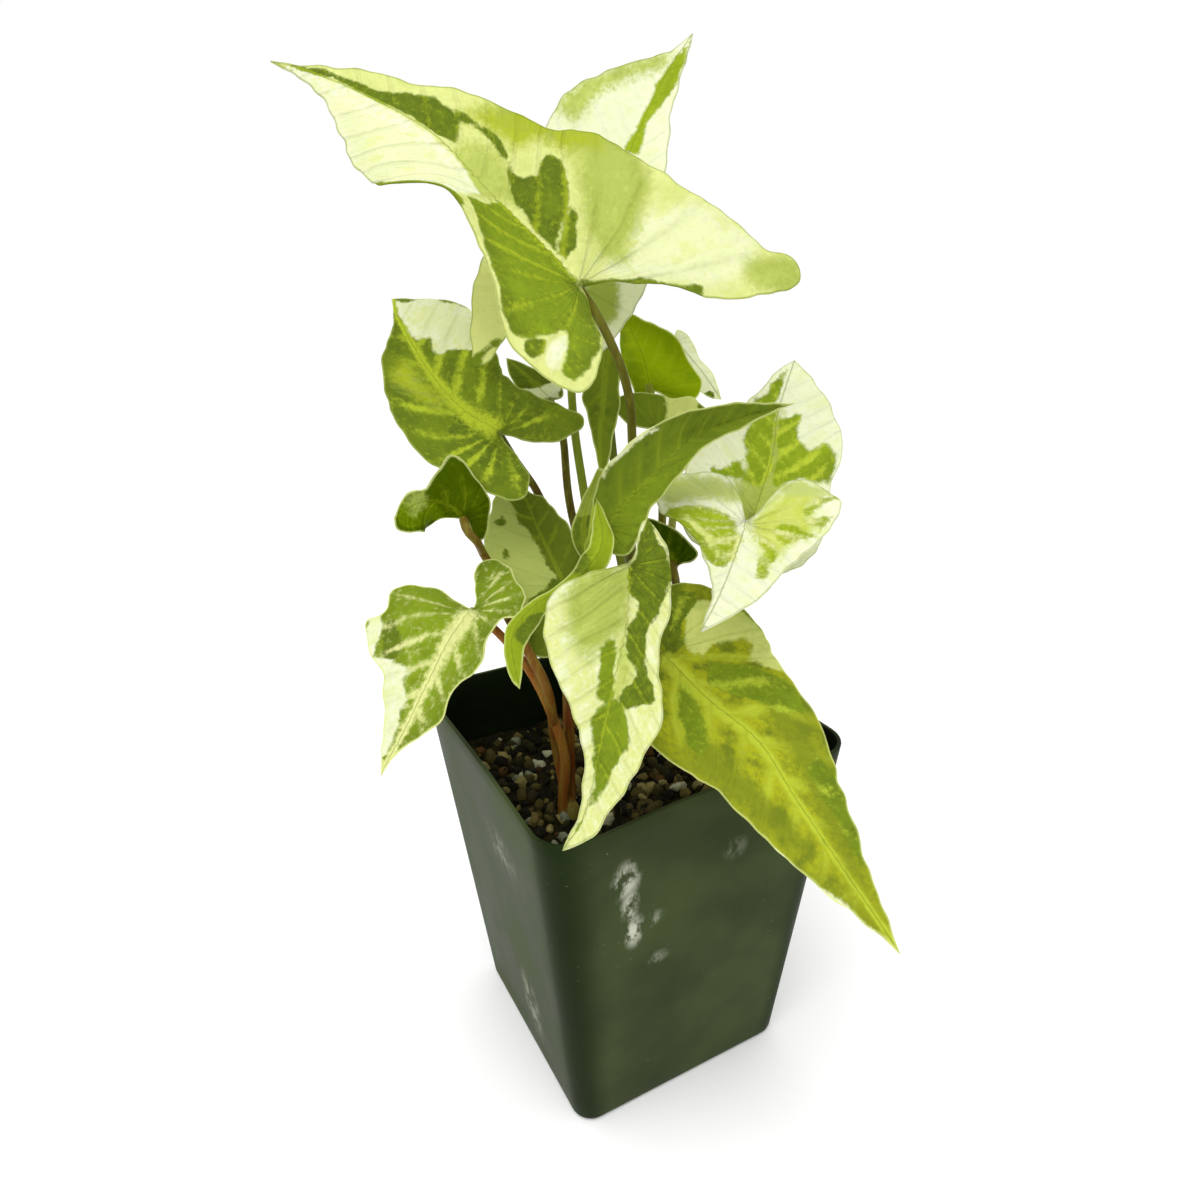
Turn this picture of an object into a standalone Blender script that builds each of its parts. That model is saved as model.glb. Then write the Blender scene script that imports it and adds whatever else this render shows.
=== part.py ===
import math
import random

import bmesh
import bpy
import numpy as np
from mathutils import Matrix, Vector
from mathutils.geometry import delaunay_2d_cdt

# sizes in millimetres and degrees; the finished meshes are in metres
mm = 0.001
gap = 0.3

potHeight = 105.0
potTopSide = 89.0
potBottomSide = 68.0
potWall = 1.2
potFloor = 1.8
cornerTop = 9.5
cornerBottom = 6.0
cornerSteps = 5
footRound = 2.0
drainRadius = 3.5
drainOffset = 21.0
holeSides = 16

soilTop = 84.0
soilSwell = 0.6
grainCount = 60
grainSmall = 1.3
grainLarge = 2.2
grainSeed = 7
grainRise = 0.1

crownRadius = 3.5
crownFoot = 58.0
crownSpread = 1.9
crownTop = 84.5
crownSides = 12
stalkFoot = 1.45
stalkEnd = 1.05
stalkSides = 8
stalkStep = 7.0

bladeThickness = 0.8
marginStep = 3.2
netStep = 5.5
bladeRoot = -0.8
smallBlade = 30.0
smallShare = 0.7

crowns = {
    "left": (-21.0, -7.0),
    "middle": (4.0, 4.0),
    "back": (16.0, 17.0),
}

# midrib: points from the stalk to the tip. facing: compass azimuth (0 along +Y, 90 along +X)
# and height of the way the upper face looks. fold: how far each half rises from flat,
# one angle or (share of the length, angle) steps. left, right: margin points as
# (distance along the midrib, distance out), from the tip back to the stalk.
leaves = {
    "leaf_top": dict(
        midrib=[(-11, -2, 218), (-23, 16, 236), (-31, 30, 250), (-46, 46, 261), (-59, 57, 267)],
        facing=(-150, 32), foldLeft=[(-0.2, 42), (0.15, 50), (0.35, 60), (0.7, 12)], foldRight=6, cup=2,
        left=[(84, 2.5), (75, 6), (66, 12.5), (58, 18), (48, 19.5), (38, 17.5), (29, 17), (20, 18.5), (11, 23),
              (3, 29), (-5, 33), (-13, 32.5), (-20, 30), (-22.5, 25), (-20, 18), (-14, 9), (-6, 3.5)],
        right=[(84, 1.5), (68, 6.5), (57, 9), (45, 15.5), (34, 20.5), (27, 27), (12, 32), (-2, 35.5),
               (-13, 38), (-21, 38), (-26.5, 41), (-31, 39.5), (-33, 35), (-28, 25), (-22, 19),
               (-12, 12.5), (-5, 6)],
    ),
    "leaf_back_top": dict(
        midrib=[(3, 27, 217), (25, 34, 250), (35, 37, 264), (45, 38, 276)],
        facing=(-145, 30), foldLeft=15, foldRight=20, cup=1,
        left=[(65, 3.5), (56, 12), (50, 18), (43, 22), (34, 23), (20, 25), (5, 25), (-9, 24), (-18, 21.5),
              (-26, 18), (-30.5, 15.5), (-27, 12.5), (-18, 10.5), (-9, 7), (-3, 3)],
        right=[(65, 3.5), (53, 6.5), (45, 8.5), (34, 12), (20, 17), (8, 20), (-4, 19.5), (-14, 16.5),
               (-20, 11.5), (-16, 7), (-8, 4)],
    ),
    "leaf_left": dict(
        midrib=[(-22, 24, 182), (-28, 34, 187), (-32, 47, 196), (-34, 60, 207), (-34, 67, 213)],
        facing=(-165, 38), foldLeft=14, foldRight=20, cup=2,
        left=[(48.5, 1.5), (44, 4), (38, 8.5), (32, 11.5), (23, 15), (12, 17.5), (0, 18), (-10, 17),
              (-16, 15.5), (-18.5, 12), (-15.5, 7.5), (-9, 3.5), (-3, 1.2)],
        right=[(53, 4.5), (48, 12), (42, 17.5), (33, 19), (22, 18), (12, 15.5), (4, 13.5), (-4, 14),
               (-12, 15), (-17.5, 15), (-19, 12), (-16, 7), (-11, 3.2), (-4, 1.2)],
    ),
    "leaf_left_dark": dict(
        midrib=[(-37, 12, 165), (-41, 12, 169), (-45, 11, 171), (-50, 10, 171), (-55, 9, 169)],
        facing=(30, 0), foldLeft=8, foldRight=8, cup=1,
        left=[(18.5, 1.5), (15.5, 3), (13.5, 3), (12, 3), (11, 5.5), (9.8, 9), (9, 11.8), (7.5, 11.5), (5, 9.8),
              (1, 8.5), (-1.5, 7.5), (-4.5, 4), (-7, 0.5), (-7.8, -2), (-6.5, -3), (-3.5, -1.5)],
        right=[(22, 2.6), (19, 5.5), (13, 7.5), (6.5, 7.5), (4, 4), (1.5, 1.8)],
    ),
    "leaf_low_left": dict(
        midrib=[(-41, 1.5, 144.5), (-44, -0.5, 142.5), (-49, -2.5, 138.5), (-62, -9.5, 125), (-70.5, -13.5, 116.5)],
        facing=(-130, 42), foldLeft=15, foldRight=15, cup=2,
        left=[(39, 1), (35, 3), (30, 6.5), (27, 8.5), (22, 7.5), (18, 8.5), (14.5, 11.5), (10, 11), (5, 9),
              (1, 9.5), (0, 13), (-2, 14.5), (-6.5, 12.8), (-10, 9), (-14, 4.5), (-16.8, -0.5), (-16.5, -3),
              (-14, -4.8), (-11, -4.8), (-8, -3.2), (-4, -0.8)],
        right=[(39, 2.5), (32, 6), (26, 9.5), (22, 12), (18, 18), (15, 20.5), (12, 22.5), (9, 19), (5, 21.5),
               (0, 21), (-2.5, 15), (-3, 9), (-1.5, 3)],
    ),
    "leaf_centre": dict(
        midrib=[(-15, 3, 146), (-15, 11, 152), (-15, 18, 157), (-14, 35, 169)],
        facing=(-165, 30), foldLeft=0, foldRight=30, cup=2,
        left=[(36, 4), (31, 8.5), (25, 12), (17, 15.5), (9, 17.5), (-2, 17.5), (-10, 16.5), (-15, 14),
              (-17.5, 11), (-15, 7), (-9, 4), (-3, 1.5)],
        right=[(34, 0.8), (30, 2), (26, 5), (20, 6.8), (13, 8), (6, 8.5), (2, 7), (-3, 6), (-6, 4), (-4, 1.5)],
    ),
    "leaf_young": dict(
        midrib=[(-16, -18, 173), (-19, -25, 165), (-26, -23, 157), (-34, -21, 153), (-40, -22, 147), (-41, -27, 137)],
        facing=(-150, 30), foldLeft=10, foldRight=10, cup=2,
        left=[(47, 1.5), (40, 3.5), (34, 4), (27, 2.2), (20, 2.5), (13, 3.2), (8, 2.2), (2, 1.2)],
        right=[(49, 1.5), (43, 2.2), (36, 1.5), (28, 1.5), (20, 2), (14, 3), (8, 2.5), (2, 1)],
    ),
    "leaf_front": dict(
        midrib=[(-15, -31, 162), (-18, -35, 151), (-24, -40, 141), (-31, -46, 130), (-38, -51, 118), (-44, -52, 112)],
        facing=(-150, 25), foldLeft=42, foldRight=10, cup=3,
        left=[(57, 4), (51, 6.5), (45, 10), (39, 12.5), (34, 14.5), (29, 13.5), (23, 11.5), (17, 10), (11, 11),
              (4, 11.5), (-3, 10.5), (-8, 7), (-10, 4), (-8, 2), (-3, 1)],
        right=[(57, 1.2), (50, 2), (42, 3.5), (36, 6.5), (30, 10.5), (25, 14.5), (19.5, 17.5), (14.5, 18.5),
               (9, 18), (4, 14.5), (1.5, 9.5), (0.5, 4.5)],
    ),
    "leaf_low_right": dict(
        midrib=[(-5, -28, 136), (-1, -41, 129), (4, -54, 123), (6, -67, 113), (10, -94, 94)],
        facing=(-146, 62), foldLeft=8, foldRight=14, cup=1,
        left=[(72, 2.5), (62, 5.5), (52, 9), (40, 12.5), (31, 15), (23, 18.5), (12, 22.5), (3, 24), (-6, 22),
              (-12, 17), (-14, 11), (-11, 6), (-5, 2.5)],
        right=[(75, 1.5), (67, 5), (57, 8.5), (48, 11.5), (38, 14.5), (26, 18), (15, 19), (4, 19.5), (-6, 18),
               (-12, 13), (-13, 8), (-9, 4), (-4, 1.5)],
    ),
    "leaf_right_back": dict(
        midrib=[(31, -14, 161), (41, -8, 174), (46, -3, 183), (55, 2, 196)],
        facing=(-160, 35), foldLeft=8, foldRight=14, cup=2,
        left=[(42, 3), (34, 6.5), (28, 10), (18, 15.5), (10, 19.5), (3, 20.5), (-5, 19), (-11, 15), (-13, 9.5),
              (-9, 5), (-4, 2)],
        right=[(44, 3), (41.5, 6.5), (36, 12.5), (30, 16.5), (22, 18), (14, 17), (5, 18), (-4, 18), (-11, 14),
               (-12.5, 8.5), (-8, 4), (-3, 1.5)],
    ),
    "leaf_right_front": dict(
        midrib=[(17, -29, 165), (14, -32, 163), (0, -44, 157), (-13, -55, 155)],
        facing=(-140, 50), foldLeft=12, foldRight=12, cup=2,
        left=[(36, 3.5), (30, 6.5), (25, 8.5), (15, 12), (6, 16.5), (0, 20), (-5.5, 22), (-9, 21), (-14, 15),
              (-14.5, 10), (-11, 6), (-5, 3)],
        right=[(35, 0.8), (27, 1.8), (19, 4), (11, 9), (4, 16.5), (-1.5, 21.5), (-6, 22.5), (-12, 20.5),
               (-14, 14), (-14.5, 8), (-11, 3.5), (-5, 1.2)],
    ),
    "leaf_long": dict(
        midrib=[(-13, -17, 166), (-6, -16, 172), (1, -17, 178), (9, -18, 184), (19, -21, 188), (33, -25, 191)],
        facing=(-150, 45), foldLeft=[(0, 15), (0.3, 35), (0.6, 70)], foldRight=25, cup=1,
        left=[(48, 2.5), (40, 5), (30, 8), (20, 9.5), (12, 9.5), (6, 8), (1, 5), (-2, 2)],
        right=[(50, 1), (43, 3), (36, 4.5), (25, 6.5), (15, 6.5), (8, 7), (2, 9), (-3, 9.5), (-5, 6), (-3, 2.5)],
    ),
    "leaf_olive": dict(
        midrib=[(24, 25, 189), (25, 30, 196), (25, 35, 201), (25, 43, 208)],
        facing=(25, 30), foldLeft=13, foldRight=13, cup=1,
        left=[(22.5, 3), (18, 5.5), (15, 7.5), (11, 10), (6, 12), (2, 13.5), (-2, 14.5), (-5, 12.5), (-6, 9),
              (-4.5, 5), (-2, 2)],
        right=[(24, 3), (20, 7), (14, 7.5), (7, 6), (1, 5), (-4, 4.5), (-5, 2.5), (-2.5, 1)],
    ),
    "leaf_cream_back": dict(
        midrib=[(43, 41, 198), (47, 35, 191), (49, 26, 183)],
        facing=(-143, 40), foldLeft=12, foldRight=12, cup=2,
        left=[(18, 1.5), (12.5, 2.5), (8, 2), (4, 3.5), (0, 4), (-3, 2.5)],
        right=[(20, 2.5), (15, 5), (9, 7), (3, 7), (-3, 5), (-4, 2)],
    ),
    "leaf_back_low": dict(
        midrib=[(17, 10, 181), (24, 10, 183), (32, 9, 185)],
        facing=(-150, 50), foldLeft=15, foldRight=15, cup=2,
        left=[(14.5, 2), (13, 4.5), (8, 6), (5.5, 9), (1, 12), (-4, 13), (-7, 10), (-7, 5), (-4, 2)],
        right=[(11.5, 3), (6, 3), (1, 2.5), (-3, 4), (-6, 3), (-4, 1)],
    ),
    "leaf_grey": dict(
        midrib=[(7, 18, 201), (3, 13, 190), (-1, 8, 181), (-4, 2, 171)],
        facing=(-141, 25), foldLeft=12, foldRight=12, cup=2,
        left=[(32, 1.5), (24.5, 3.5), (19, 4.2), (13, 4.2), (7, 3.8), (2, 3), (-1, 1.5)],
        right=[(30, 1), (22, 2.5), (17, 4), (13, 5.5), (9, 4.5), (4, 3.5), (-1, 1.5)],
    ),
    "leaf_small_pale": dict(
        midrib=[(-12, -6, 156), (-12, -3, 162), (-9, -1, 169), (-6, -1, 176)],
        facing=(-137, 30), foldLeft=12, foldRight=12, cup=2,
        left=[(22, 0.6), (18, 1), (14, 1.8), (11, 2.2), (6, 3.2), (2, 3), (-1, 1.5)],
        right=[(22, 1.5), (19, 2.8), (15, 4), (10, 3.8), (4, 2.6), (0, 1.5)],
    ),
    "leaf_dark_behind": dict(
        midrib=[(7, -15, 153), (5, -11, 158), (1, -8, 164)],
        facing=(38, 25), foldLeft=12, foldRight=12, cup=1,
        left=[(13, 2), (8, 4.5), (3, 5.8), (-1, 6.5), (-2, 4), (-1, 1.5)],
        right=[(12, 2.5), (6, 3.5), (2, 2.5), (-1, 1)],
    ),
    "leaf_behind_left": dict(
        midrib=[(-2, 35, 187), (-5, 42, 192), (-8, 50, 197)],
        facing=(-160, 35), foldLeft=12, foldRight=12, cup=1,
        left=[(16, 2), (12, 4), (8, 5), (4, 4), (0, 3), (-2, 1)],
        right=[(16, 1.5), (11, 3), (5, 4), (1, 5), (-2, 3)],
    ),
}


def spline(points, step):
    """Even points along a smooth curve through the given ones."""
    p = np.array(points, float)
    p = np.vstack([2 * p[0] - p[1], p, 2 * p[-1] - p[-2]])
    dense = []
    for i in range(1, len(p) - 2):
        a, b, c, d = p[i - 1:i + 3]
        for t in np.linspace(0, 1, 16, endpoint=False):
            dense.append(0.5 * (2 * b + (c - a) * t + (2 * a - 5 * b + 4 * c - d) * t**2
                                + (3 * b - a - 3 * c + d) * t**3))
    dense = np.array(dense + [p[-2]])
    run = np.r_[0, np.cumsum(np.linalg.norm(np.diff(dense, axis=0), axis=1))]
    count = max(2, round(run[-1] / step)) + 1
    at = np.linspace(0, run[-1], count)
    return np.stack([np.interp(at, run, dense[:, k]) for k in range(dense.shape[1])], -1)


def eased(steps, share):
    """A fold angle for each share of the length, eased between the given steps."""
    if np.isscalar(steps):
        return np.full(np.shape(share), float(steps))
    share = np.clip(share, steps[0][0], steps[-1][0])
    value = np.full(np.shape(share), float(steps[0][1]))
    for (x0, y0), (x1, y1) in zip(steps, steps[1:]):
        k = np.clip((share - x0) / (x1 - x0), 0, 1)
        value += (y1 - y0) * k * k * (3 - 2 * k)
    return value


def unit(v):
    return v / np.linalg.norm(v, axis=-1, keepdims=True)


def midribOf(leaf):
    """Even stations of the midrib with a smoothed direction at each."""
    line = spline(leaf["midrib"], 0.8)
    run = np.r_[0, np.cumsum(np.linalg.norm(np.diff(line, axis=0), axis=1))]
    way = np.gradient(line, run, axis=0)
    padded = np.vstack([np.repeat(way[:1], 4, 0), way, np.repeat(way[-1:], 4, 0)])
    way = np.stack([np.convolve(padded[:, k], np.ones(9) / 9, "valid") for k in range(3)], -1)
    return run, line, unit(way)


def bladeSurface(leaf, flat):
    """Places flat (along, out) points on the bent and folded blade."""
    run, line, way = midribOf(leaf)
    along, out = flat[:, 0], flat[:, 1]
    on = np.clip(along, 0, run[-1])
    centre = np.stack([np.interp(on, run, line[:, k]) for k in range(3)], -1)
    direction = unit(np.stack([np.interp(on, run, way[:, k]) for k in range(3)], -1))
    centre = centre + direction * (along - on)[:, None]
    azimuth, height = np.radians(leaf["facing"])
    look = np.array([math.cos(height) * math.sin(azimuth), math.cos(height) * math.cos(azimuth), math.sin(height)])
    up = unit(look - direction * (direction @ look)[:, None])
    across = np.cross(direction, up)
    share = along / run[-1]
    fold = np.radians(np.where(out >= 0, eased(leaf["foldRight"], share), eased(leaf["foldLeft"], share)))
    reach = np.abs(out)
    side = np.sign(out) * reach * np.cos(fold)
    rise = reach * np.sin(fold) - leaf["cup"] * (reach / 20)**2
    return centre + side[:, None] * across + rise[:, None] * up


def bladeOutline(leaf, step):
    """The flat margin as a closed loop, tip first, down the left and up the right."""
    run = midribOf(leaf)[0]
    tip, root = (run[-1], 0.0), (bladeRoot, 0.0)
    left = spline([tip] + [(a, -b) for a, b in leaf["left"]] + [root], step)
    right = spline([root] + leaf["right"][::-1] + [tip], step)
    return np.vstack([left[:-1], right[:-1]]), len(left) - 1


def bladeNet(leaf, step, inner):
    """Triangles of the flat blade, with an edge all along the midrib."""
    loop, rootAt = bladeOutline(leaf, step)
    length = loop[0, 0]
    count = max(2, round((length - bladeRoot) / inner))
    rib = [(bladeRoot + (length - bladeRoot) * i / count, 0.0) for i in range(1, count)]
    points = [tuple(p) for p in loop] + rib
    n = len(loop)
    edges = [(i, (i + 1) % n) for i in range(n)]
    chain = [rootAt] + list(range(n, n + len(rib))) + [0]
    edges += list(zip(chain, chain[1:]))
    low, high = loop.min(0), loop.max(0)
    row = 0
    x = low[0] + inner * 0.5
    while x < high[0]:
        y = low[1] + inner * (0.25 if row % 2 else 0.75)
        while y < high[1]:
            near = np.min(np.linalg.norm(loop - (x, y), axis=1))
            if near > inner * 0.55 and (abs(y) > inner * 0.5 or x < bladeRoot):
                points.append((x, y))
            y += inner
        x += inner * 0.87
        row += 1
    flat, _, faces, _, _, _ = delaunay_2d_cdt([Vector(p) for p in points], edges, [], 1, 1e-5)
    used = sorted({i for f in faces for i in f})
    place = {old: new for new, old in enumerate(used)}
    return np.array([tuple(flat[i]) for i in used]), [tuple(place[i] for i in f) for f in faces]


def solidSheet(name, surface, faces, thickness):
    """A closed sheet around a surface: the same triangles on both faces and a wall at the margin."""
    normals = np.zeros_like(surface)
    for f in faces:
        a, b, c = surface[list(f)]
        normals[list(f)] += np.cross(b - a, c - a)
    normals = unit(normals)
    n = len(surface)
    verts = np.vstack([surface + normals * thickness / 2, surface - normals * thickness / 2])
    polys = [tuple(f) for f in faces] + [tuple(i + n for i in reversed(f)) for f in faces]
    border = {}
    for f in faces:
        for a, b in zip(f, f[1:] + f[:1]):
            if (b, a) in border:
                del border[(b, a)]
            else:
                border[(a, b)] = True
    for a, b in border:
        polys.append((b, a, a + n))
        polys.append((b, a + n, b + n))
    mesh = bpy.data.meshes.new(name)
    mesh.from_pydata([tuple(v * mm) for v in verts], [], polys)
    mesh.validate()
    ob = bpy.data.objects.new(name, mesh)
    bpy.context.scene.collection.objects.link(ob)
    return ob


# way points of each stalk from its blade down to the crown it grows from
stalks = {
    "left": {
        "leaf_low_left": [(-34, 3, 137), (-27, -3, 124), (-22, -7, 104)],
        "leaf_centre": [(-17, 2, 131), (-18, -3, 114)],
        "leaf_left": [(-17, 26, 174), (-10, 28, 163), (-6, 28, 149), (-9, 17, 122)],
        "leaf_left_dark": [(-38, 8, 163), (-35, 10, 159), (-32, 15, 154), (-31, 14, 151), (-32, 3, 143), (-31, -6, 137), (-28, -12, 126), (-22, -2, 104)],
    },
    "middle": {
        "leaf_top": [(-6, -3, 210), (0, -3, 197), (3, -1, 183), (3, 0, 150)],
        "leaf_back_top": [(0, 25, 205), (-2, 21, 185), (-2, 16, 165), (0, 9, 130)],
        "leaf_front": [(-12, -26, 154), (-8, -17, 131), (0, -4, 106)],
        "leaf_long": [(-8, -14, 157), (-3, -9, 138), (2, 0, 108)],
        "leaf_young": [(-17.0, -18.5, 169.5), (-17.5, -18.0, 165.5), (-15.5, -13.0, 157.5), (-1, 0, 125)],
        "leaf_low_right": [(-3, -23, 128), (1, -12, 116)],
        "leaf_behind_left": [(-1, 30, 178), (-3, 22, 158), (1, 12, 125)],
        "leaf_small_pale": [(-8, -2, 145), (-2, 3, 120)],
    },
    "back": {
        "leaf_right_front": [(20, -21, 155), (19, -8, 130)],
        "leaf_right_back": [(29, -11, 149), (25, 0, 122)],
        "leaf_olive": [(23, 21, 184), (24, 21, 176), (26, 21, 164), (23, 19, 125)],
        "leaf_back_low": [(17, 10, 175), (20, 12, 155), (18, 14, 120)],
        "leaf_grey": [(8, 20, 188), (9, 18, 165), (13, 17, 120)],
        "leaf_cream_back": [(41, 38, 185), (34, 28, 150)],
        "leaf_dark_behind": [(9, -12, 143), (13, 2, 118)],
    },
}


def addMesh(name, verts, polys):
    mesh = bpy.data.meshes.new(name)
    mesh.from_pydata([tuple(np.array(v) * mm) for v in verts], [], polys)
    mesh.validate()
    ob = bpy.data.objects.new(name, mesh)
    bpy.context.scene.collection.objects.link(ob)
    return ob


def applied(ob):
    """Puts the result of the modifiers into the object's own mesh."""
    graph = bpy.context.evaluated_depsgraph_get()
    mesh = bpy.data.meshes.new_from_object(ob.evaluated_get(graph))
    mesh.name = ob.name
    ob.modifiers.clear()
    ob.data = mesh


def joined(ob, others, operation):
    """One boolean of an object with a collection of others, which are then removed."""
    pool = bpy.data.collections.new("pool")
    bpy.context.scene.collection.children.link(pool)
    for other in others:
        bpy.context.scene.collection.objects.unlink(other)
        pool.objects.link(other)
    step = ob.modifiers.new("join", "BOOLEAN")
    step.operation = operation
    step.operand_type = "COLLECTION"
    step.collection = pool
    step.solver = "EXACT"
    applied(ob)
    for other in others:
        bpy.data.objects.remove(other)
    bpy.data.collections.remove(pool)


def squareRing(side, corner, height):
    """A level rounded square, as the pot is at one height."""
    ring = []
    for quarter in range(4):
        sx, sy = [(1, 1), (-1, 1), (-1, -1), (1, -1)][quarter]
        cx, cy = sx * (side / 2 - corner), sy * (side / 2 - corner)
        for i in range(cornerSteps + 1):
            a = math.radians(90 * quarter + 90 * i / cornerSteps)
            ring.append((cx + corner * math.cos(a), cy + corner * math.sin(a), height))
    return ring


def ringSolid(name, rings):
    """A closed solid through level rings, first and last closed flat."""
    verts, polys = [], []
    n = len(rings[0])
    for k, ring in enumerate(rings):
        verts += ring
        if k:
            for i in range(n):
                j = (i + 1) % n
                polys.append(((k - 1) * n + i, (k - 1) * n + j, k * n + j, k * n + i))
    polys.append(tuple(reversed(range(n))))
    polys.append(tuple(range((len(rings) - 1) * n, len(rings) * n)))
    return addMesh(name, verts, polys)


def potSide(height):
    return potBottomSide + (potTopSide - potBottomSide) * height / potHeight


def potCorner(height):
    return cornerBottom + (cornerTop - cornerBottom) * height / potHeight


def buildPot():
    rings = [squareRing(potSide(0) - 2 * footRound, potCorner(0) - 1, 0),
             squareRing(potSide(0) - 0.6 * footRound, potCorner(0) - 0.3, 0.3 * footRound),
             squareRing(potSide(footRound), potCorner(footRound), footRound),
             squareRing(potSide(potHeight), potCorner(potHeight), potHeight),
             squareRing(potSide(potHeight) - 2 * potWall, potCorner(potHeight) - potWall, potHeight),
             squareRing(potSide(potFloor) - 2 * potWall, potCorner(potFloor) - potWall, potFloor)]
    pot = ringSolid("pot", rings)
    cutters = []
    for x in (-1, 1):
        for y in (-1, 1):
            cutters.append(roundPost("drain", (x * drainOffset, y * drainOffset), drainRadius, -2, potFloor + 2,
                                    holeSides))
    joined(pot, cutters, "DIFFERENCE")
    return pot


def roundPost(name, centre, radius, foot, top, sides):
    rings = []
    for z in (foot, top):
        rings.append([(centre[0] + radius * math.cos(2 * math.pi * i / sides),
                       centre[1] + radius * math.sin(2 * math.pi * i / sides), z) for i in range(sides)])
    return ringSolid(name, rings)


def soilHeight(x, y):
    """The uneven top of the potting mix."""
    return soilTop + soilSwell * 0.5 * (math.sin(x * 0.21 + 0.6) * math.cos(y * 0.17) + math.sin((x - y) * 0.13))


def buildSoil():
    foot = potFloor + gap
    inset = 2 * (potWall + gap)
    rings = [squareRing(potSide(foot) - inset, potCorner(foot) - potWall - gap, foot),
             squareRing(potSide(soilTop) - inset, potCorner(soilTop) - potWall - gap, soilTop - 1.5)]
    edge = squareRing(potSide(soilTop) - inset, potCorner(soilTop) - potWall - gap, soilTop)
    for share in (1.0, 0.8, 0.6, 0.4, 0.2):
        rings.append([(x * share, y * share, soilHeight(x * share, y * share)) for x, y, _ in edge])
    soil = ringSolid("soil", rings)
    holes = [roundPost("hole", c, crownRadius + gap, crownFoot - gap, potHeight, holeSides)
             for c in crowns.values()]
    joined(soil, holes, "DIFFERENCE")
    dice = random.Random(grainSeed)
    reach = (potSide(soilTop) - inset) / 2
    grains, spots = [], []
    while len(grains) < grainCount:
        x, y = dice.uniform(-reach, reach), dice.uniform(-reach, reach)
        size = dice.uniform(grainSmall, grainLarge)
        clearWall = max(abs(x), abs(y)) < reach - size - 0.8 and abs(x) + abs(y) < 2 * reach - 3 - 2 * size
        clearCrown = all(math.dist((x, y), c) > crownRadius + size + 2 for c in crowns.values())
        clearGrain = all(math.dist((x, y), s[:2]) > size + s[2] + 0.5 for s in spots)
        turn = (dice.uniform(0, 3), dice.uniform(0, 3), dice.uniform(0, 3))
        stretch = (dice.uniform(0.85, 1.1), dice.uniform(0.75, 1.0), dice.uniform(0.7, 0.95))
        if not (clearWall and clearCrown and clearGrain):
            continue
        spots.append((x, y, size))
        grains.append(grain((x, y, soilHeight(x, y) + grainRise * size), size, turn, stretch))
    joined(soil, grains, "UNION")
    return soil


def grain(centre, size, turn, stretch):
    bm = bmesh.new()
    bmesh.ops.create_icosphere(bm, subdivisions=1, radius=size * mm)
    bmesh.ops.scale(bm, vec=stretch, verts=bm.verts)
    for axis, angle in zip("XYZ", turn):
        bmesh.ops.rotate(bm, matrix=Matrix.Rotation(angle, 3, axis), verts=bm.verts)
    bmesh.ops.translate(bm, vec=Vector(centre) * mm, verts=bm.verts)
    mesh = bpy.data.meshes.new("grain")
    bm.to_mesh(mesh)
    bm.free()
    ob = bpy.data.objects.new("grain", mesh)
    bpy.context.scene.collection.objects.link(ob)
    return ob


def tube(name, points, startRadius, endRadius, step, sides):
    """A round stalk along a smooth curve, its far end rounded."""
    line = spline(points, step)
    way = unit(np.gradient(line, axis=0))
    side = unit(np.cross(way[0], (0.3, 1.0, 0.2)))
    radii = np.linspace(startRadius, endRadius, len(line))
    verts, polys = [], []
    for k, (p, w, r) in enumerate(zip(line, way, radii)):
        side = unit(side - w * (side @ w))
        other = np.cross(w, side)
        for i in range(sides):
            a = 2 * math.pi * i / sides
            verts.append(p + r * (side * math.cos(a) + other * math.sin(a)))
        if k:
            for i in range(sides):
                j = (i + 1) % sides
                polys.append(((k - 1) * sides + i, (k - 1) * sides + j, k * sides + j, k * sides + i))
    last = len(line) - 1
    for i in range(sides):
        a = 2 * math.pi * i / sides
        around = side * math.cos(a) + other * math.sin(a)
        verts.append(line[-1] + radii[-1] * (0.6 * way[-1] + 0.7 * around))
    for i in range(sides):
        j = (i + 1) % sides
        polys.append((last * sides + i, last * sides + j, (last + 1) * sides + j, (last + 1) * sides + i))
    polys.append(tuple(reversed(range(sides))))
    polys.append(tuple(range((last + 1) * sides, (last + 2) * sides)))
    return addMesh(name, verts, polys)


def stalkEndPoint(leaf):
    """Just under the blade where the stalk meets the midrib."""
    root = bladeSurface(leaf, np.array([(0.0, 0.0), (1.0, 0.0), (0.0, 0.01)]))
    ahead, across = unit(root[1] - root[0]), unit(root[2] - root[0])
    up = unit(np.cross(across, ahead))
    return root[0] - up * (bladeThickness / 2 + gap + stalkEnd * 1.15)


def buildStalks(crown, routes):
    x, y = crowns[crown]
    post = roundPost("stalks_" + crown, (x, y), crownRadius, crownFoot, crownTop, crownSides)
    tubes = []
    for blade, route in routes.items():
        lean = unit(np.array(route[-1][:2], float) - (x, y))
        foot = (x + lean[0] * crownSpread, y + lean[1] * crownSpread)
        points = [(*foot, crownTop - 6), (*foot, crownTop + 4)] + route[::-1] + [tuple(stalkEndPoint(leaves[blade]))]
        tubes.append(tube("stalk", points, stalkFoot, stalkEnd, stalkStep, stalkSides))
    joined(post, tubes, "UNION")
    return post


def buildBlade(name, leaf):
    fine = smallShare if midribOf(leaf)[0][-1] < smallBlade else 1
    flat, faces = bladeNet(leaf, marginStep * fine, netStep * fine)
    return solidSheet(name, bladeSurface(leaf, flat), faces, bladeThickness)


def plastic(name, colour, roughness):
    material = bpy.data.materials.new(name)
    material.use_nodes = True
    shader = material.node_tree.nodes["Principled BSDF"]
    shader.inputs["Base Color"].default_value = (*colour, 1)
    shader.inputs["Roughness"].default_value = roughness
    material.diffuse_color = (*colour, 1)
    return material


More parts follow.
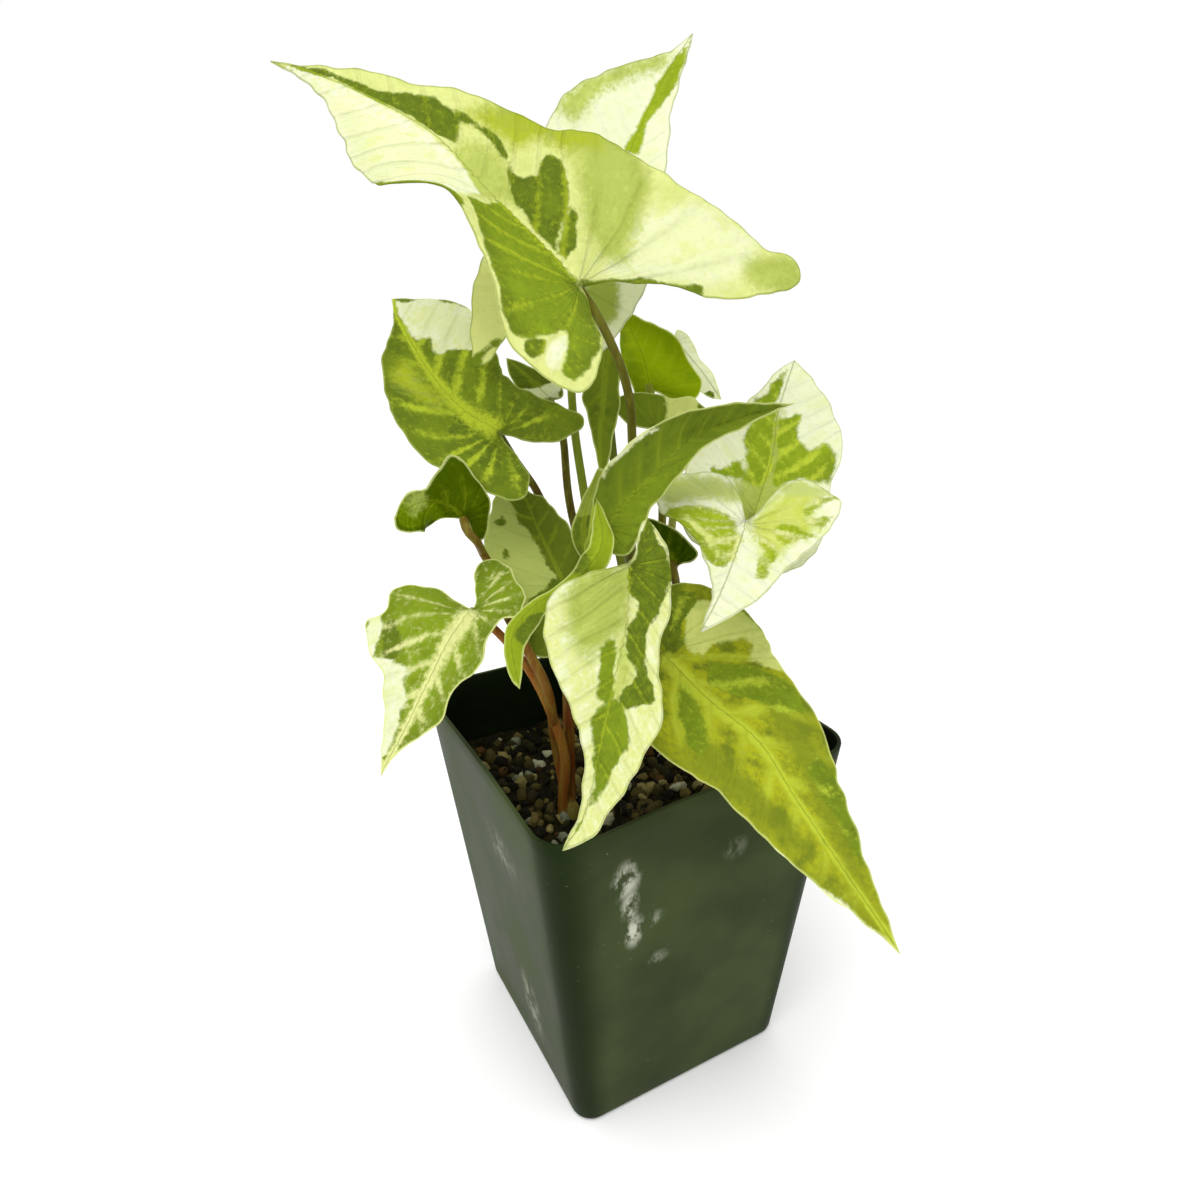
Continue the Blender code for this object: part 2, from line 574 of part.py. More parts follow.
def build():
    for ob in list(bpy.data.objects):
        bpy.data.objects.remove(ob)
    pieces = [(buildPot(), (0.02, 0.06, 0.03), 0.5), (buildSoil(), (0.05, 0.03, 0.02), 0.9)]
    for crown, routes in stalks.items():
        pieces.append((buildStalks(crown, routes), (0.25, 0.12, 0.04), 0.5))
    for name, leaf in leaves.items():
        pieces.append((buildBlade(name, leaf), (0.35, 0.5, 0.12), 0.45))
    for ob, colour, roughness in pieces:
        ob.data.materials.clear()
        ob.data.materials.append(plastic(ob.name, colour, roughness))


build()
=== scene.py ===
import math
from functools import partial

import bpy
import numpy as np
from mathutils import Matrix, Vector
from mathutils import noise as hills
from mathutils.geometry import delaunay_2d_cdt


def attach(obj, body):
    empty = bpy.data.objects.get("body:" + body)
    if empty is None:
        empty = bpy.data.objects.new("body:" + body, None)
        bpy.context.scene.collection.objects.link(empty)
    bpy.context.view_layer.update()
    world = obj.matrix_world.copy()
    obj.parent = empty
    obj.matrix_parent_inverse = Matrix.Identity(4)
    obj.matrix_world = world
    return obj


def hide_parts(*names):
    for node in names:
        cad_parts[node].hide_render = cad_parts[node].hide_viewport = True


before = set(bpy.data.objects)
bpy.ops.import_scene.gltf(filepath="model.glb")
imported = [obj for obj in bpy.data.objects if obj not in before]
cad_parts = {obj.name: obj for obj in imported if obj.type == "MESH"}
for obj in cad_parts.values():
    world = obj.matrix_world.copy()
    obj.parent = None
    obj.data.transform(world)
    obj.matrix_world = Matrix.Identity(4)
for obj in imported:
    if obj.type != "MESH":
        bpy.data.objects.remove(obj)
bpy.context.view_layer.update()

mm = 0.001
print("stage: frame loaded,", len(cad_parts), "nodes")

# settings that many nodes share, named once so that a formula stays short
times = dict(operation="MULTIPLY")
plus = dict(operation="ADD")
minus = dict(operation="SUBTRACT")
timesPlus = dict(operation="MULTIPLY_ADD")
larger = dict(operation="MAXIMUM")
folded = dict(operation="PINGPONG")
smooth = dict(interpolation_type="SMOOTHSTEP")
blend = dict(data_type="RGBA")


def linear(hexText):
    # sRGB hex to the linear colour that the shaders take
    parts = [int(hexText[i:i + 2], 16) / 255 for i in (1, 3, 5)]
    return tuple(c / 12.92 if c <= 0.04045 else ((c + 0.055) / 1.055)**2.4 for c in parts) + (1.0,)


def addNode(tree, kind, inputs=(), out=0, **settings):
    # one node with its settings and links; inputs are values or sockets, in order or by name,
    # and what comes back is the output socket asked for
    node = tree.nodes.new(kind if "Node" in kind else "ShaderNode" + kind)
    for key, value in settings.items():
        setattr(node, key, value)
    for key, value in inputs.items() if isinstance(inputs, dict) else enumerate(inputs):
        if isinstance(value, bpy.types.NodeSocket):
            tree.links.new(value, node.inputs[key])
        else:
            node.inputs[key].default_value = value
    return node.outputs[out] if node.outputs else None


def patchy(tree, place, size, detail=2.0, rough=0.5, stretch=None):
    # cloudy pattern whose lumps are about size wide, drawn out along an axis by stretch
    if stretch:
        place = addNode(tree, "Mapping", {"Vector": place, "Scale": stretch})
    return addNode(tree, "TexNoise", {"Vector": place, "Scale": 0.7 / size, "Detail": detail,
                                      "Roughness": rough})


def newMaterial(name):
    material = bpy.data.materials.new(name)
    material.use_nodes = True
    tree = material.node_tree
    return material, tree, tree.nodes["Principled BSDF"]


def dress(tree, shader, values, relief, strength, depth):
    # patterns and plain values go to the shader's own sockets, the relief to its bump
    values["Normal"] = addNode(tree, "Bump", {"Height": relief, "Strength": strength, "Distance": depth})
    for key, value in values.items():
        if isinstance(value, bpy.types.NodeSocket):
            tree.links.new(value, shader.inputs[key])
        else:
            shader.inputs[key].default_value = value


def unit(v):
    return v / np.linalg.norm(v, axis=-1, keepdims=True)


def added(name, data):
    # a new object in the scene that shows this data
    ob = bpy.data.objects.new(name, data)
    bpy.context.scene.collection.objects.link(ob)
    return ob


def meshObject(name, verts, polys, edges=()):
    mesh = bpy.data.meshes.new(name)
    mesh.from_pydata([tuple(v) for v in np.array(verts, float) * mm], edges, polys)
    return added(name, mesh)


def newTree(name, **given):
    # an empty geometry tree with its named inputs
    tree = bpy.data.node_groups.new(name, "GeometryNodeTree")
    tree.interface.new_socket("Geometry", in_out="INPUT", socket_type="NodeSocketGeometry")
    for key, kind in given.items():
        tree.interface.new_socket(key, in_out="INPUT", socket_type="NodeSocket" + kind)
    tree.interface.new_socket("Geometry", in_out="OUTPUT", socket_type="NodeSocketGeometry")
    return tree, addNode(tree, "NodeGroupInput").node.outputs


def grownBy(ob, tree, **values):
    # the tree runs on the object with these inputs, and its result becomes the plain mesh
    modifier = ob.modifiers.new(tree.name, "NODES")
    modifier.node_group = tree
    for item in tree.interface.items_tree:
        if item.in_out == "INPUT" and item.name in values:
            modifier[item.identifier] = values[item.name]
    settled(ob)


def settled(ob):
    # the modifiers' result becomes the object's own plain mesh
    graph = bpy.context.evaluated_depsgraph_get()
    mesh = bpy.data.meshes.new_from_object(ob.evaluated_get(graph), preserve_all_data_layers=True,
                                           depsgraph=graph)
    mesh.name = ob.name
    ob.modifiers.clear()
    ob.data = mesh


def floatLayer(mesh, name, values, domain="POINT"):
    layer = mesh.attributes.new(name, "FLOAT", domain)
    layer.data.foreach_set("value", np.asarray(values, np.float32))


def finished(ob, node, edgeAngle):
    ob.data.shade_smooth()
    ob.data.set_sharp_from_angle(angle=math.radians(edgeAngle))
    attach(ob, "root")
    if node:
        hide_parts(node)


bladeLook = dict(
    marginStep=0.9,       # mm between points of the margin
    netStep=1.15,         # mm between points inside
    midribStep=0.8,       # mm between points of the midrib
    behindStalk=0.8,      # mm that the margin reaches back past the stalk
    thickness=0.45,       # mm in the middle
    edgeThickness=0.26,   # mm at the margin
    thickFrom=2.5,        # mm from the margin where the blade is at its full thickness
    quilt=0.36,           # mm that the blade swells between two side veins
    quiltFrom=5.0,        # mm from the midrib where the swelling is full
    quiltTo=2.0,          # mm from the margin where it begins to end
    groove=0.35,          # mm that the midrib is sunk above
    ridge=0.55,           # mm that the midrib stands out below
    ribWidth=1.1,         # mm from the midrib to where it fades
    ripple=0.55,          # mm that the margin waves
    rippleReach=5.0,      # mm that the waves reach into the blade
    ripplePitch=0.09,     # waves to a mm
    frill=0.35,           # mm that the outline runs in and out
    frillPitch=0.24,      # runs to a mm
    veinAngle=52.0,       # degrees between midrib and side vein
    veinBend=0.012,       # how fast a side vein turns to the tip
    lobeVeins=24.0,       # degrees between veins that fan into a lobe
    cupReach=20.0,        # mm from the midrib where the cup is measured
    fullLength=45.0,      # mm; a shorter blade has lower relief
    farthest=9.0,         # mm, the most that a distance to a patch is kept to
    edgeAngle=60,         # degrees from which an edge stays sharp
)

# midrib: points from the stalk to the tip, mm. facing: azimuth (0 along +Y, 90 along +X) and height of
# the way the upper face looks. fold: how far each half rises, one angle or (share of length, angle)
# steps. cup: mm that a half sinks at cupReach from the midrib. left, right: margin points (along the
# midrib, out from it) from the tip back to the stalk. paint: ground is the colour under the patches,
# second and mottle a second colour and its share, halo the share of pale yellow-green beside the veins,
# veins the mm between side veins; the rest is what differs from usualPaint. marks: patches of another
# colour, each an outline of points (along the midrib, out to the right or, negative, to the left).
leaves = {
    "leaf_top": dict(
        midrib=[(-11, -2, 218), (-23, 16, 236), (-31, 30, 250), (-46, 46, 261), (-59, 57, 267)],
        facing=(-150, 32), foldLeft=[(-0.2, 42), (0.15, 50), (0.3, 58), (0.5, 22), (0.7, 12)], foldRight=6,
        cup=2,
        left=[(84, 2.5), (75, 6), (66, 12.5), (58, 18), (48, 20), (38, 19.5), (29, 18), (20, 18.5),
            (11, 23), (3, 29), (-5, 33), (-13, 32.5), (-20, 30), (-22.5, 25), (-20, 18), (-14, 9),
            (-6, 3.5)],
        right=[(84, 1.5), (68, 6.5), (57, 9), (45, 15.5), (34, 20.5), (27, 27), (12, 32), (-2, 35.5),
            (-13, 38), (-21, 38), (-26.5, 41), (-31, 39.5), (-33, 35), (-28, 25), (-22, 19), (-12, 12.5),
            (-5, 6)],
        paint=dict(ground="paleYellow", second="pale", mottle=0.45, halo=0.8, veins=9.0, ribHalo=2.2,
            sideHalo=2.5, rag=0.5, quilt=0.5, relief=1.7, line=0.09, rimTone="edgeLine", rim=0.55,
            edge=1.0),
        marks=[
            ("ivory", [(1.5, 7.5), (3, 16), (1, 25), (-3, 32.5), (-10.5, 37), (-19, 38), (-22, 32),
              (-23, 23.5), (-15.5, 16.5), (-2.5, 5.5)]),
            ("pale", [(36.5, 9), (30, 7), (25, 6.5), (22, 3), (25, 1.5), (27.5, -4), (29, -11.5),
              (34.5, -8.5), (43, 1.5), (42.5, 5)]),
            ("celery", [(34, 25.5), (28.5, 30.5), (23, 32.5), (14.5, 33.5), (5.5, 28), (1, 20), (-3.5, 11),
              (0.5, 7), (9, 11), (16, 16), (22.5, 20), (29, 21)]),
            ("lime", [(47, 7), (46, 12), (44, 19), (39, 21.5), (31.5, 29), (24, 32), (20.5, 26.5),
              (26.5, 19.5), (32.5, 17.5), (34, 11.5), (38.5, 10.5), (43, 9)]),
            ("green", [(27, -12.5), (25.5, -8.5), (26, 0.5), (20, 1), (11, 0.5), (0, -1), (-9, -4),
              (-13, -8), (-16.5, -13.5), (-19, -20.5), (-19.5, -26.5), (-17.5, -27.5), (-16, -26.5),
              (-12, -19.5), (-9.5, -16.5), (-8.5, -21.5), (-7.5, -27.5), (-4.5, -31), (-0.5, -30.5),
              (5.5, -25.5), (11.5, -21.5), (16.5, -17.5), (21.5, -14.5)]),
            ("cream", [(88, 0), (88, -6), (75, -9), (66, -15), (58, -21), (48, -23), (38, -21), (30, -20),
              (27, -14), (29, -4), (36, -1), (60, -0.5)]),
            ("cream", [(-10, -24.5), (-9.5, -17), (-12, -19.5), (-16, -27), (-15, -29.5), (-13, -28.5)]),
            ("dark", [(-7.5, -30), (-7.5, -27.5), (-9, -24), (-11, -26.5), (-11, -31), (-9, -31.5)]),
            ("dark", [(87.5, 0.5), (79.5, 2), (74, 2), (66.5, 2.5), (61, 4.5), (54, 7.5), (50.5, 7),
              (47, 7), (45, 4.5), (43.5, 2), (47.5, 1), (56, 0.5), (64, 0), (75, 0.5), (84.5, -0.5)]),
            ("dark", [(49, 7.5), (46, 8.5), (42, 9.5), (38.5, 10.5), (35.5, 10), (33, 9), (34.5, 8),
              (38.5, 9), (43, 8), (46, 7)]),
            ("dark", [(33.5, 9), (29, 8), (26, 8.5), (26, 10), (24.5, 11), (26.5, 13.5), (28, 15.5),
              (26.5, 17), (24, 17.5), (20.5, 16), (17, 14), (15, 12), (14, 9.5), (12.5, 7), (11, 4),
              (7.5, 1.5), (11, 2), (14.5, 2), (18.5, 2.5), (24, 3.5), (27.5, 5)]),
            ("dark", [(14, 12), (11, 10.5), (8.5, 8), (6.5, 5), (6, 2), (8, 2), (11, 5.5), (13, 9)]),
            ("green", [(0.5, 0.5), (-8.5, 11), (-13, 13.5), (-19.5, 19.5), (-20.5, 18), (-14, 11.5),
              (-10, 9.5), (-2.5, -0.5)]),
            ("celery", [(-21.5, 32), (-25, 39.5), (-29, 42), (-34, 38), (-33, 32.5), (-28.5, 28.5),
              (-24.5, 28)]),
            ("fresh", [(47, -21.5), (38, -21), (29, -20), (24, -18), (25.5, -15.5), (31, -16.5), (38, -18),
              (46, -19)]),
        ],
    ),
    "leaf_back_top": dict(
        midrib=[(3, 27, 217), (25, 34, 250), (35, 37, 264), (45, 38, 276)],
        facing=(-145, 30), foldLeft=15, foldRight=20, cup=1,
        left=[(65, 3.5), (56, 12), (50, 18), (43, 22), (34, 23), (20, 25), (5, 25), (-9, 24), (-18, 21.5),
            (-26, 18), (-30.5, 15.5), (-27, 12.5), (-18, 10.5), (-9, 7), (-3, 3)],
        right=[(65, 3.5), (53, 6.5), (45, 8.5), (34, 12), (20, 17), (8, 20), (-4, 19.5), (-14, 16.5),
            (-20, 11.5), (-16, 7), (-8, 4)],
        paint=dict(ground="cream", second="paleYellow", mottle=0.35, rag=0.5, halo=0.2, veins=8.0,
            quilt=0.4, line=0.05, rimTone="edgeLine"),
        marks=[
            ("pale", [(39, -22), (44, -22.5), (50.5, -18.5), (57, -11.5), (66.5, -1.5), (61, -1.5),
              (49, -13), (42.5, -15), (38.5, -16.5)]),
            ("fresh", [(71, 1), (64.5, 3.5), (59.5, 4.5), (54, 4), (50, 3), (46.5, 1.5), (42.5, 2),
              (36.5, 3), (36.5, -2), (44, -1), (49, -1), (53.5, -0.5), (56.5, -1), (61.5, -1), (68, 0)]),
            # painted light: the left lobe, shaded by leaf_top above it, is painted bright lemon over its own
            # pale cream to stand in for light coming through the leaf
            ("paintedLightLemon", [(-3, -12), (-4, -32), (-36, -30), (-36, -6), (-16, -8)]),
            ("grey", [(-1.5, 3), (3.5, 6), (2.5, 12), (-2, 15), (-7.5, 15.5), (-11, 12.5), (-9.5, 7.5)]),
            ("green", [(-19.5, -11), (-22.5, -12), (-25.5, -13.5), (-28.5, -14.5), (-31.5, -12.5),
              (-33, -12), (-33.5, -15), (-33, -17.5), (-29.5, -17.5), (-26.5, -16), (-23, -14)]),
        ],
    ),
    "leaf_left": dict(
        midrib=[(-22, 24, 182), (-28, 34, 187), (-32, 47, 196), (-34, 60, 207), (-34, 67, 213)],
        facing=(-165, 38), foldLeft=14, foldRight=20, cup=2,
        left=[(48.5, 1.5), (44, 4), (38, 8.5), (32, 11.5), (23, 15), (12, 17.5), (0, 18), (-10, 17),
            (-16, 15.5), (-18.5, 12), (-15.5, 7.5), (-9, 3.5), (-3, 1.2)],
        right=[(53, 4.5), (48, 12), (42, 17.5), (33, 19), (22, 18), (12, 15.5), (4, 13.5), (-4, 14),
            (-12, 15), (-17.5, 15), (-19, 12), (-16, 7), (-11, 3.2), (-4, 1.2)],
        paint=dict(ground="green", second="dark", mottle=0.7, halo=1.0, veins=10.0, ribHalo=6.0,
            sideHalo=3.4, haloTone="softHalo", edge=1.0, quilt=0.6, rim=0.3),
        marks=[
            ("cream", [(53.5, 1), (50, 10), (44, 16), (38.5, 19.5), (31.5, 18.5), (26, 15.5), (26, 13),
              (28.5, 10), (31, 7.5), (29.5, 5), (33, 4), (37, 5), (38.5, 2.5), (41, 1), (44.5, 0.5),
              (49, 0)]),
            ("dark", [(12, 14.5), (10.5, 17.5), (0, 16.5), (-5.5, 14), (-9.5, 9.5), (-9, 5.5), (-4.5, 5.5),
              (1, 7), (5.5, 9)]),
            ("dark", [(12.5, -2.5), (6.5, -1.5), (0, -3), (-6, -5), (-8, -9.5), (-4, -12), (3.5, -10),
              (9.5, -7.5)]),
            ("lime", [(31.5, -9), (33.5, -4.5), (27.5, -3), (22, -3), (16.5, -2), (15, -5), (19, -7),
              (24.5, -8.5), (28, -10)]),
        ],
    ),
    "leaf_left_dark": dict(
        midrib=[(-37, 12, 165), (-41, 12, 169), (-45, 11, 171), (-50, 10, 171), (-55, 9, 169)],
        facing=(30, 0), foldLeft=8, foldRight=8, cup=1,
        left=[(18.5, 1.5), (15.5, 3), (13.5, 3), (12, 3), (11, 5.5), (9.8, 9), (9, 11.8), (7.5, 11.5),
            (5, 9.8), (1, 8.5), (-1.5, 7.5), (-4.5, 4), (-7, 0.5), (-7.8, -2), (-6.5, -3), (-3.5, -1.5)],
        right=[(22, 2.6), (19, 5.5), (13, 7.5), (6.5, 7.5), (4, 4), (1.5, 1.8)],
        paint=dict(ground="olive", second="green", mottle=0.3, halo=0.18, veins=6.0, ribHalo=1.2),
        marks=[
            ("green", [(18, -1.5), (13.5, -0.5), (6.5, 2), (2.5, 4), (11.5, 7), (19.5, 4), (20.5, 1)]),
            ("grey", [(15, -4.5), (12, -2.5), (12, 1), (16, 2), (16.5, -0.5)]),
        ],
    ),
    "leaf_low_left": dict(
        midrib=[(-41, 1.5, 144.5), (-44, -0.5, 142.5), (-49, -2.5, 138.5), (-62, -9.5, 125),
            (-70.5, -13.5, 116.5)],
        facing=(-130, 42), foldLeft=15, foldRight=15, cup=2,
        left=[(39, 1), (35, 3), (30, 6.5), (27, 8.5), (22, 7.5), (18, 8.5), (14.5, 11.5), (10, 11), (5, 9),
            (1, 9.5), (0, 13), (-2, 14.5), (-6.5, 12.8), (-10, 9), (-14, 4.5), (-16.8, -0.5), (-16.5, -3),
            (-14, -4.8), (-11, -4.8), (-8, -3.2), (-4, -0.8)],
        right=[(39, 2.5), (32, 6), (26, 9.5), (22, 12), (18, 18), (15, 20.5), (12, 22.5), (9, 19),
            (5, 21.5), (0, 21), (-2.5, 15), (-3, 9), (-1.5, 3)],
        paint=dict(ground="mid", second="green", mottle=0.7, halo=1.0, veins=8.5, ribHalo=5.6,
            haloTone="creamHalo", sideHalo=2.6, edge=0.7, rim=0.8),
        marks=[
            ("cream", [(12, 22), (10.5, 22.5), (10, 20), (12.5, 17.5), (16.5, 16), (19.5, 16), (19, 13.5),
              (18, 10.5), (18, 7.5), (19, 6), (21, 6.5), (22, 7), (24.5, 4.5), (27, 3), (30, 2.5),
              (33.5, 2), (37, 2), (39.5, 2), (38.5, 4.5), (34, 8), (29, 11.5), (23.5, 15.5), (18, 19)]),
            ("dark", [(12.5, 17.5), (10.5, 16.5), (11.5, 12.5), (15, 10), (18, 10.5), (18, 14)]),
        ],
    ),
    "leaf_centre": dict(
        midrib=[(-15, 3, 146), (-15, 11, 152), (-15, 18, 157), (-14, 35, 169)],
        facing=(-165, 30), foldLeft=0, foldRight=30, cup=2,
        left=[(36, 4), (31, 8.5), (25, 12), (17, 15.5), (9, 17.5), (-2, 17.5), (-10, 16.5), (-15, 14),
            (-17.5, 11), (-15, 7), (-9, 4), (-3, 1.5)],
        right=[(34, 0.8), (30, 2), (26, 5), (20, 6.8), (13, 8), (6, 8.5), (2, 7), (-3, 6), (-6, 4),
            (-4, 1.5)],
        paint=dict(ground="olive", second="dark", mottle=0.5, halo=0.4, veins=7.0, ribHalo=1.4),
        marks=[
            ("greyCelery", [(35, -8.5), (33, -7.5), (29.5, -3.5), (25.5, -4), (21.5, -4), (18.5, -3),
              (15, -2.5), (11, -2), (6.5, -2), (2, -1.5), (-1, -1.5), (-2.5, -6.5), (-3.5, -12), (0, -16.5),
              (9, -16.5), (19, -15), (29.5, -11.5)]),
            ("dark", [(-2, -11), (0.5, -6.5), (2.5, -2.5), (1, -1), (-2.5, -3.5), (-4.5, -8.5)]),
            ("dark", [(25.5, -9), (26, -7), (23, -7.5), (22.5, -9.5), (24, -10.5)]),
            ("dark", [(16, -11), (15, -10), (12.5, -10.5), (13.5, -12)]),
        ],
    ),
    "leaf_young": dict(
        midrib=[(-16, -18, 173), (-19, -25, 165), (-26, -23, 157), (-34, -21, 153), (-40, -22, 147),
            (-41, -27, 137)],
        facing=(-150, 30), foldLeft=10, foldRight=10, cup=2,
        left=[(47, 1.5), (40, 3.5), (34, 4), (27, 2.2), (20, 2.5), (13, 3.2), (8, 2.2), (2, 1.2)],
        right=[(49, 1.5), (43, 2.2), (36, 1.5), (28, 1.5), (20, 2), (14, 3), (8, 2.5), (2, 1)],
        paint=dict(ground="young", second="mid", mottle=0.5, halo=0.2, veins=5.0),
        marks=[
            ("dark", [(19.5, 5), (14.5, 3.5), (14, 0), (17, -1), (20.5, 2)]),
            ("dark", [(36.5, -0.5), (31, -2), (30, -4.5), (38, -5.5), (42, -2.5), (40, -1)]),
        ],
    ),
    "leaf_front": dict(
        midrib=[(-15, -31, 162), (-18, -35, 151), (-24, -40, 141), (-31, -46, 130), (-38, -51, 118),
            (-44, -52, 112)],
        facing=(-150, 25), foldLeft=42, foldRight=10, cup=3,
        left=[(57, 4), (51, 6.5), (45, 10), (39, 12.5), (34, 14.5), (29, 13.5), (23, 11.5), (17, 10),
            (11, 11), (4, 11.5), (-3, 10.5), (-8, 7), (-10, 4), (-8, 2), (-3, 1)],
        right=[(57, 1.2), (50, 2), (42, 3.5), (36, 6.5), (30, 10.5), (25, 14.5), (19.5, 17.5), (14.5, 18.5),
            (9, 18), (4, 14.5), (1.5, 9.5), (0.5, 4.5)],
        paint=dict(ground="paleYellow", second="cream", mottle=0.8, halo=0.75, veins=7.0, ribHalo=1.6,
            sideHalo=1.2, relief=1.5, rimTone="edgeLine", rim=0.4),
        marks=[
            ("celery", [(1, 12), (-0.5, 7), (0, -0.5), (7.5, 0), (14.5, 0.5), (17, 3), (20, 5.5),
              (22.5, 6.5), (21, 10), (17, 13), (8, 14)]),
            ("pale", [(16.5, 2), (15.5, -1), (20.5, -3), (24, -5.5), (27, -3.5), (30, -2.5), (29.5, -0.5),
              (23.5, 0.5), (19, 1.5)]),
            ("green", [(31.5, 2.5), (30, -0.5), (30, -3), (32, -5), (37.5, -7.5), (39.5, -7.5),
              (41.5, -5.5), (45.5, -4), (54, 0), (58.5, 0), (48, -1), (44.5, 0), (39, 2), (34.5, 3)]),
            ("green", [(17, 3.5), (16.5, 2), (19, 1.5), (23.5, 0.5), (29.5, -0.5), (30.5, 2.5), (29, 4),
              (27.5, 3.5), (25, 4), (23.5, 3.5), (20.5, 5), (18.5, 4.5)]),
            ("dark", [(-9.5, -4.5), (-6, -7.5), (-3, -10.5), (0.5, -11.5), (4.5, -11), (8.5, -9.5),
              (12.5, -6.5), (15, -5.5), (20, -7), (23, -8.5), (25.5, -10.5), (27, -10), (29.5, -11.5),
              (30, -8.5), (31.5, -4.5), (30, -2.5), (27, -3.5), (26, -5.5), (23, -5), (20.5, -3),
              (17.5, -1.5), (14.5, -0.5), (12, -1.5), (9.5, -2.5), (5.5, -0.5), (1, 0), (-2, -1.5),
              (-7.5, -2.5)]),
        ],
    ),
    "leaf_low_right": dict(
        midrib=[(-5, -28, 136), (-1, -41, 129), (4, -54, 123), (6, -67, 113), (10, -94, 94)],
        facing=(-146, 62), foldLeft=8, foldRight=14, cup=1,
        left=[(72, 2.5), (62, 5.5), (52, 9), (40, 12.5), (31, 15), (23, 18.5), (12, 22.5), (3, 24),
            (-6, 22), (-12, 17), (-14, 11), (-11, 6), (-5, 2.5)],
        right=[(75, 1.5), (67, 5), (57, 8.5), (48, 11.5), (38, 14.5), (26, 18), (15, 19), (4, 19.5),
            (-6, 18), (-12, 13), (-13, 8), (-9, 4), (-4, 1.5)],
        paint=dict(ground="ochre", second="ochreDark", mottle=1.0, halo=0.75, veins=10.0, ribHalo=4.4,
            sideHalo=3.2, haloTone="brightHalo", relief=1.4),
        marks=[
            ("moss", [(19.5, 15), (21, 8.5), (30, 8), (39.5, 6), (47.5, 3.5), (56, 3.5), (54.5, 7),
              (46, 10.5), (37, 14), (26.5, 17)]),
            ("moss", [(24.5, -12), (33, -12), (46, -9), (56, -6), (66.5, -2.5), (63.5, -0.5), (56, -1.5),
              (45.5, -3), (34.5, -4), (26.5, -6)]),
            ("straw", [(-6, -17), (-5, -12.5), (-2.5, -9), (0.5, -7), (4, -6.5), (6, -7.5), (6, -10.5),
              (6.5, -14), (9, -17.5), (12, -19), (14, -16.5), (14.5, -14.5), (17, -15.5), (21, -16.5),
              (24, -17.5), (20, -21), (12.5, -22.5), (3.5, -23.5), (-1.5, -19)]),
            ("dark", [(-12, -13), (-7, -19.5), (-5, -15), (-4, -11), (0, -6.5), (1.5, -2.5), (0, -0.5),
              (-7.5, -6.5)]),
            ("green", [(8.5, -8.5), (14, -12.5), (21.5, -15.5), (27.5, -16), (31, -13.5), (30, -10),
              (24.5, -7.5), (18, -5), (12, -4)]),
            ("green", [(38.5, -10), (45.5, -11), (55, -10), (63, -6.5), (63, -4), (56, -5), (48, -6),
              (40, -6.5)]),
            ("green", [(7.5, 1.5), (11.5, 1), (18, 4.5), (23.5, 10), (24, 14.5), (19, 12.5), (13, 8)]),
            ("cream", [(47.5, 12.5), (52.5, 10.5), (57.5, 9), (62, 6.5), (68, 3.5), (72.5, 3), (76.5, 1.5),
              (76, 3.5), (70.5, 5.5), (64, 8.5), (57, 11.5), (50.5, 13)]),
        ],
    ),
    "leaf_right_back": dict(
        midrib=[(31, -14, 161), (41, -8, 174), (46, -3, 183), (55, 2, 196)],
        facing=(-160, 35), foldLeft=8, foldRight=14, cup=2,
        left=[(42, 3), (34, 6.5), (28, 10), (18, 15.5), (10, 19.5), (3, 20.5), (-5, 19), (-11, 15),
            (-13, 9.5), (-9, 5), (-4, 2)],
        right=[(44, 3), (41.5, 6.5), (36, 12.5), (30, 16.5), (22, 18), (14, 17), (5, 18), (-4, 18),
            (-11, 14), (-12.5, 8.5), (-8, 4), (-3, 1.5)],
        paint=dict(ground="cream", second="paleYellow", mottle=0.4, halo=0.9, veins=6.5, sideHalo=2.4,
            haloTone="brightHalo", rimTone="edgeLine", rim=0.35),
        marks=[
            ("celery", [(30, 1), (30, -1), (18, -4), (8, -7), (-4, -8), (-8, -3), (-8, 4), (-2, 10), (8, 7),
              (19, 4)]),
            ("mid", [(41.5, -1), (37.5, -1), (33.5, -2), (30, -3.5), (27, -9), (31, -7), (33, -4), (37, -4),
              (39.5, -3)]),
            ("mid", [(21.5, -8.5), (24.5, -7), (29, -2.5), (30, -0.5), (22, -0.5), (13.5, 0), (7.5, 0),
              (8.5, -4.5), (14, -7)]),
            ("mid", [(8.5, -15.5), (8.5, -13), (10, -10), (12, -10), (13, -7.5), (8.5, -4.5), (8, -9),
              (5.5, -13.5)]),
            ("mid", [(28, 1), (31, 6.5), (26.5, 5.5), (24, 6.5), (22.5, 6), (20.5, 9), (22, 14), (20, 17),
              (18, 17), (14, 16), (13.5, 8.5), (9, 2.5), (22.5, 0.5)]),
        ],
    ),
    "leaf_right_front": dict(
        midrib=[(17, -29, 165), (14, -32, 163), (0, -44, 157), (-13, -55, 155)],
        facing=(-140, 50), foldLeft=12, foldRight=12, cup=2,
        left=[(36, 3.5), (30, 6.5), (25, 8.5), (15, 12), (6, 16.5), (0, 20), (-5.5, 22), (-9, 21),
            (-14, 15), (-14.5, 10), (-11, 6), (-5, 3)],
        right=[(35, 0.8), (27, 1.8), (19, 4), (11, 9), (4, 16.5), (-1.5, 21.5), (-6, 22.5), (-12, 20.5),
            (-14, 14), (-14.5, 8), (-11, 3.5), (-5, 1.2)],
        paint=dict(ground="cream", second="paleYellow", mottle=0.4, halo=1.0, veins=6.5, sideHalo=3.2,
            haloTone="creamHalo", relief=1.6, rimTone="edgeLine", rim=0.4),
        marks=[
            ("glow", [(0, -1), (-7, -4.5), (-11.5, -9), (-12, -14), (-9.5, -17), (-4, -14.5), (0.5, -17),
              (3.5, -15.5), (5.5, -12), (12, -9), (17, -7.5), (8, -5), (3, -2)]),
            ("haze", [(-11, 22.5), (-13, 15), (-13.5, 8), (-11, 2), (-6.5, 2), (-6.5, 8), (-5, 14),
              (-3, 19), (-5.5, 22)]),
            ("fresh", [(2.5, 20.5), (-1, 18), (-3.5, 14), (-4, 10), (-3, 6.5), (0.5, 2.5), (6.5, -0.5),
